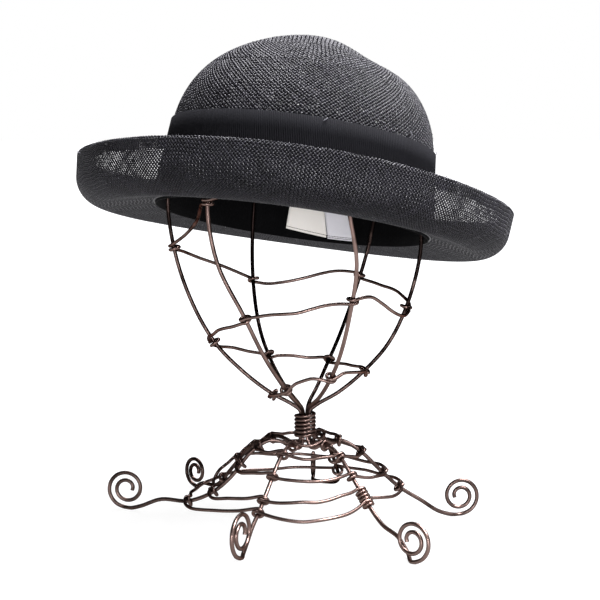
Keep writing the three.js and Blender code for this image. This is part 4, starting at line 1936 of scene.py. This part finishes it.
@dataclass(frozen=True)
class Studio:
    """The floor, the light and the camera. Millimetres and degrees for the camera."""

    target: Triple = (2.9, 0.15, 136.5)
    distance: float = 1100.0
    elevation: float = 7.2
    lens: float = 108.9
    sensor: float = 36.0
    floor_side: float = 12.0
    backdrop: float = 1.0
    room: float = 0.06
    lights: tuple[BroadLight, ...] = (
        BroadLight("key", (0.28, 0.28, 1.0), 38.0, 14.2),
        BroadLight("upper", (0.6, -0.5, 1.0), 25.0, 6.9),
        BroadLight("front", (0.0, -1.0, 0.06), 8.0, 1.25),
    )

    def lay_floor(self) -> None:
        """Lays the floor, which is no piece of the part."""
        half = self.floor_side / 2
        corners = [(-half, -half, 0), (half, -half, 0), (half, half, 0), (-half, half, 0)]
        mesh = bpy.data.meshes.new("floor")
        mesh.from_pydata(corners, [], [(0, 1, 2, 3)])
        mesh.materials.append(FloorFinish().material())
        floor = bpy.data.objects.new("floor", mesh)
        bpy.context.scene.collection.objects.link(floor)

    def hang_backdrop(self) -> None:
        """Makes the sky: white to the camera, and dim to the object."""
        world = bpy.data.worlds.new("sky")
        world.use_nodes = True
        graph = Graph(world.node_tree)
        seen = Value(graph, graph.node("ShaderNodeLightPath").outputs["Is Camera Ray"])
        sky = graph.node("ShaderNodeBackground", sockets={
            "Color": (1.0, 1.0, 1.0, 1.0), "Strength": seen * (self.backdrop - self.room) + self.room})
        graph.node("ShaderNodeOutputWorld", sockets={"Surface": sky.outputs[0]})
        bpy.context.scene.world = world
        bpy.context.scene.view_settings.view_transform = "Standard"

    def set_camera(self) -> None:
        """Sets the camera at the photograph's angle, aimed at the target."""
        lens = bpy.data.cameras.new("camera")
        lens.lens = self.lens
        lens.sensor_width = self.sensor
        camera = bpy.data.objects.new("camera", lens)
        up = math.radians(self.elevation)
        target = Vector(self.target) * MM
        camera.location = target + Vector((0, -math.cos(up), math.sin(up))) * self.distance * MM
        camera.rotation_euler = (target - camera.location).to_track_quat("-Z", "Y").to_euler()
        bpy.context.scene.collection.objects.link(camera)
        bpy.context.scene.camera = camera

    def build(self) -> None:
        """Adds the floor, the sky, the lights and the camera."""
        self.lay_floor()
        self.hang_backdrop()
        for light in self.lights:
            light.add()
        self.set_camera()
        LOG.info("studio: floor, %d lights and the camera", len(self.lights))


def main() -> None:
    """Builds the studio, then the hat and the stand piece by piece."""
    logging.basicConfig(level=logging.INFO, format="%(message)s")
    Studio().build()

    straw = StrawFinish().material()
    ribbon = ClothFinish(
        "grosgrain", dark=(0.0012, 0.0012, 0.0017), light=(0.0046, 0.0046, 0.0064), thread=0.5, gloss=0.1,
    ).material()
    # The sweatband's own black cloth, also used for the labels' stitches as painted shade.
    lining_and_painted_shade = ClothFinish(
        "sweatband_cloth", dark=(0.001, 0.001, 0.0011), light=(0.004, 0.004, 0.0044), thread=0.6, gloss=0.05,
    ).material()
    cream = ClothFinish(
        "cream_cloth", dark=(0.91, 0.87, 0.79), light=(0.97, 0.94, 0.88), thread=0.45,
    ).material()
    white = ClothFinish(
        "white_satin", dark=(0.8, 0.79, 0.82), light=(0.92, 0.91, 0.94), thread=0.35, roughness=0.55,
        gloss=0.4,
    ).material()
    thread = ClothFinish("thread", dark=(0.1, 0.1, 0.11), light=(0.22, 0.22, 0.24), thread=0.3).material()
    bronze = WireFinish().material()

    tip = CROWN.reach_at(CROWN.tip_half_width)
    shoulder = CROWN.reach_at(CROWN.shoulder_half_width)
    tip_cloth = CrownTip(tip + CROWN.lap, pitch=1.75)
    shoulder_cloth = CrownRing.between(tip, shoulder + CROWN.lap, column=2.75, row=2.15)
    side_cloth = CrownRing.between(shoulder, CROWN.cloth_reach, column=2.6, row=2.15)
    Weave("crown_tip", tip_cloth, "crown", seed=3).dress(straw)
    Weave("crown_shoulder", shoulder_cloth, "crown", seed=4).dress(straw)
    Weave("crown_side", side_cloth, "crown", seed=5).dress(straw)
    CrownWall().dress(straw)
    Weave(
        "brim", BRIM, "brim", seed=6, fill=0.79, crimp=0.2, thickness=0.26, uneven_place=0.012,
        uneven_width=0.03, slub=0.03, twist=5.0, wander=0.65, wander_length=26.0,
    ).dress(straw)

    ribs = ribbed_tree()
    Band(
        "ribbon", "ribbon_band", bottom=4.5, top=50.0, inner=FIT_GAP, outer=FIT_GAP + 0.65,
        rib_pitch=1.5, rib_height=0.5, ribs_inside=False, slot=Slot.RIBBON, lean=-14.0,
    ).dress(ribs, ribbon)
    Band(
        "sweatband_ribbed", "sweatband", bottom=-0.8, top=32.0, inner=-2.4, outer=-1.6,
        rib_pitch=2.2, rib_height=0.12, ribs_inside=True, slot=Slot.SWEATBAND,
    ).dress(ribs, lining_and_painted_shade)

    # The labels' stitches are of the near-black sweatband cloth: a painted shade line under each layer's
    # lower edge.
    shade_stitch_tree = stitch_tree()
    Label(
        "wide_label", x=8.4, width=27.0, bottom=3.3, top=29.0, tilt=6.0, leans=(-0.03, 0.24),
        slot=Slot.CREAM,
    ).dress(cream, shade_stitch_tree, lining_and_painted_shade)
    Label(
        "narrow_label", x=30.8, width=16.0, bottom=1.2, top=28.0, tilt=1.0, leans=(0.26, 0.36),
        slot=Slot.WHITE, layers=3, lift=0.5, step=0.9,
    ).dress(white, shade_stitch_tree, lining_and_painted_shade)

    wires = wire_tree()
    for tack in TACKS:
        tack.dress(wires, thread)
    Stand().dress(wires, bronze)


if __name__ == "__main__":
    main()
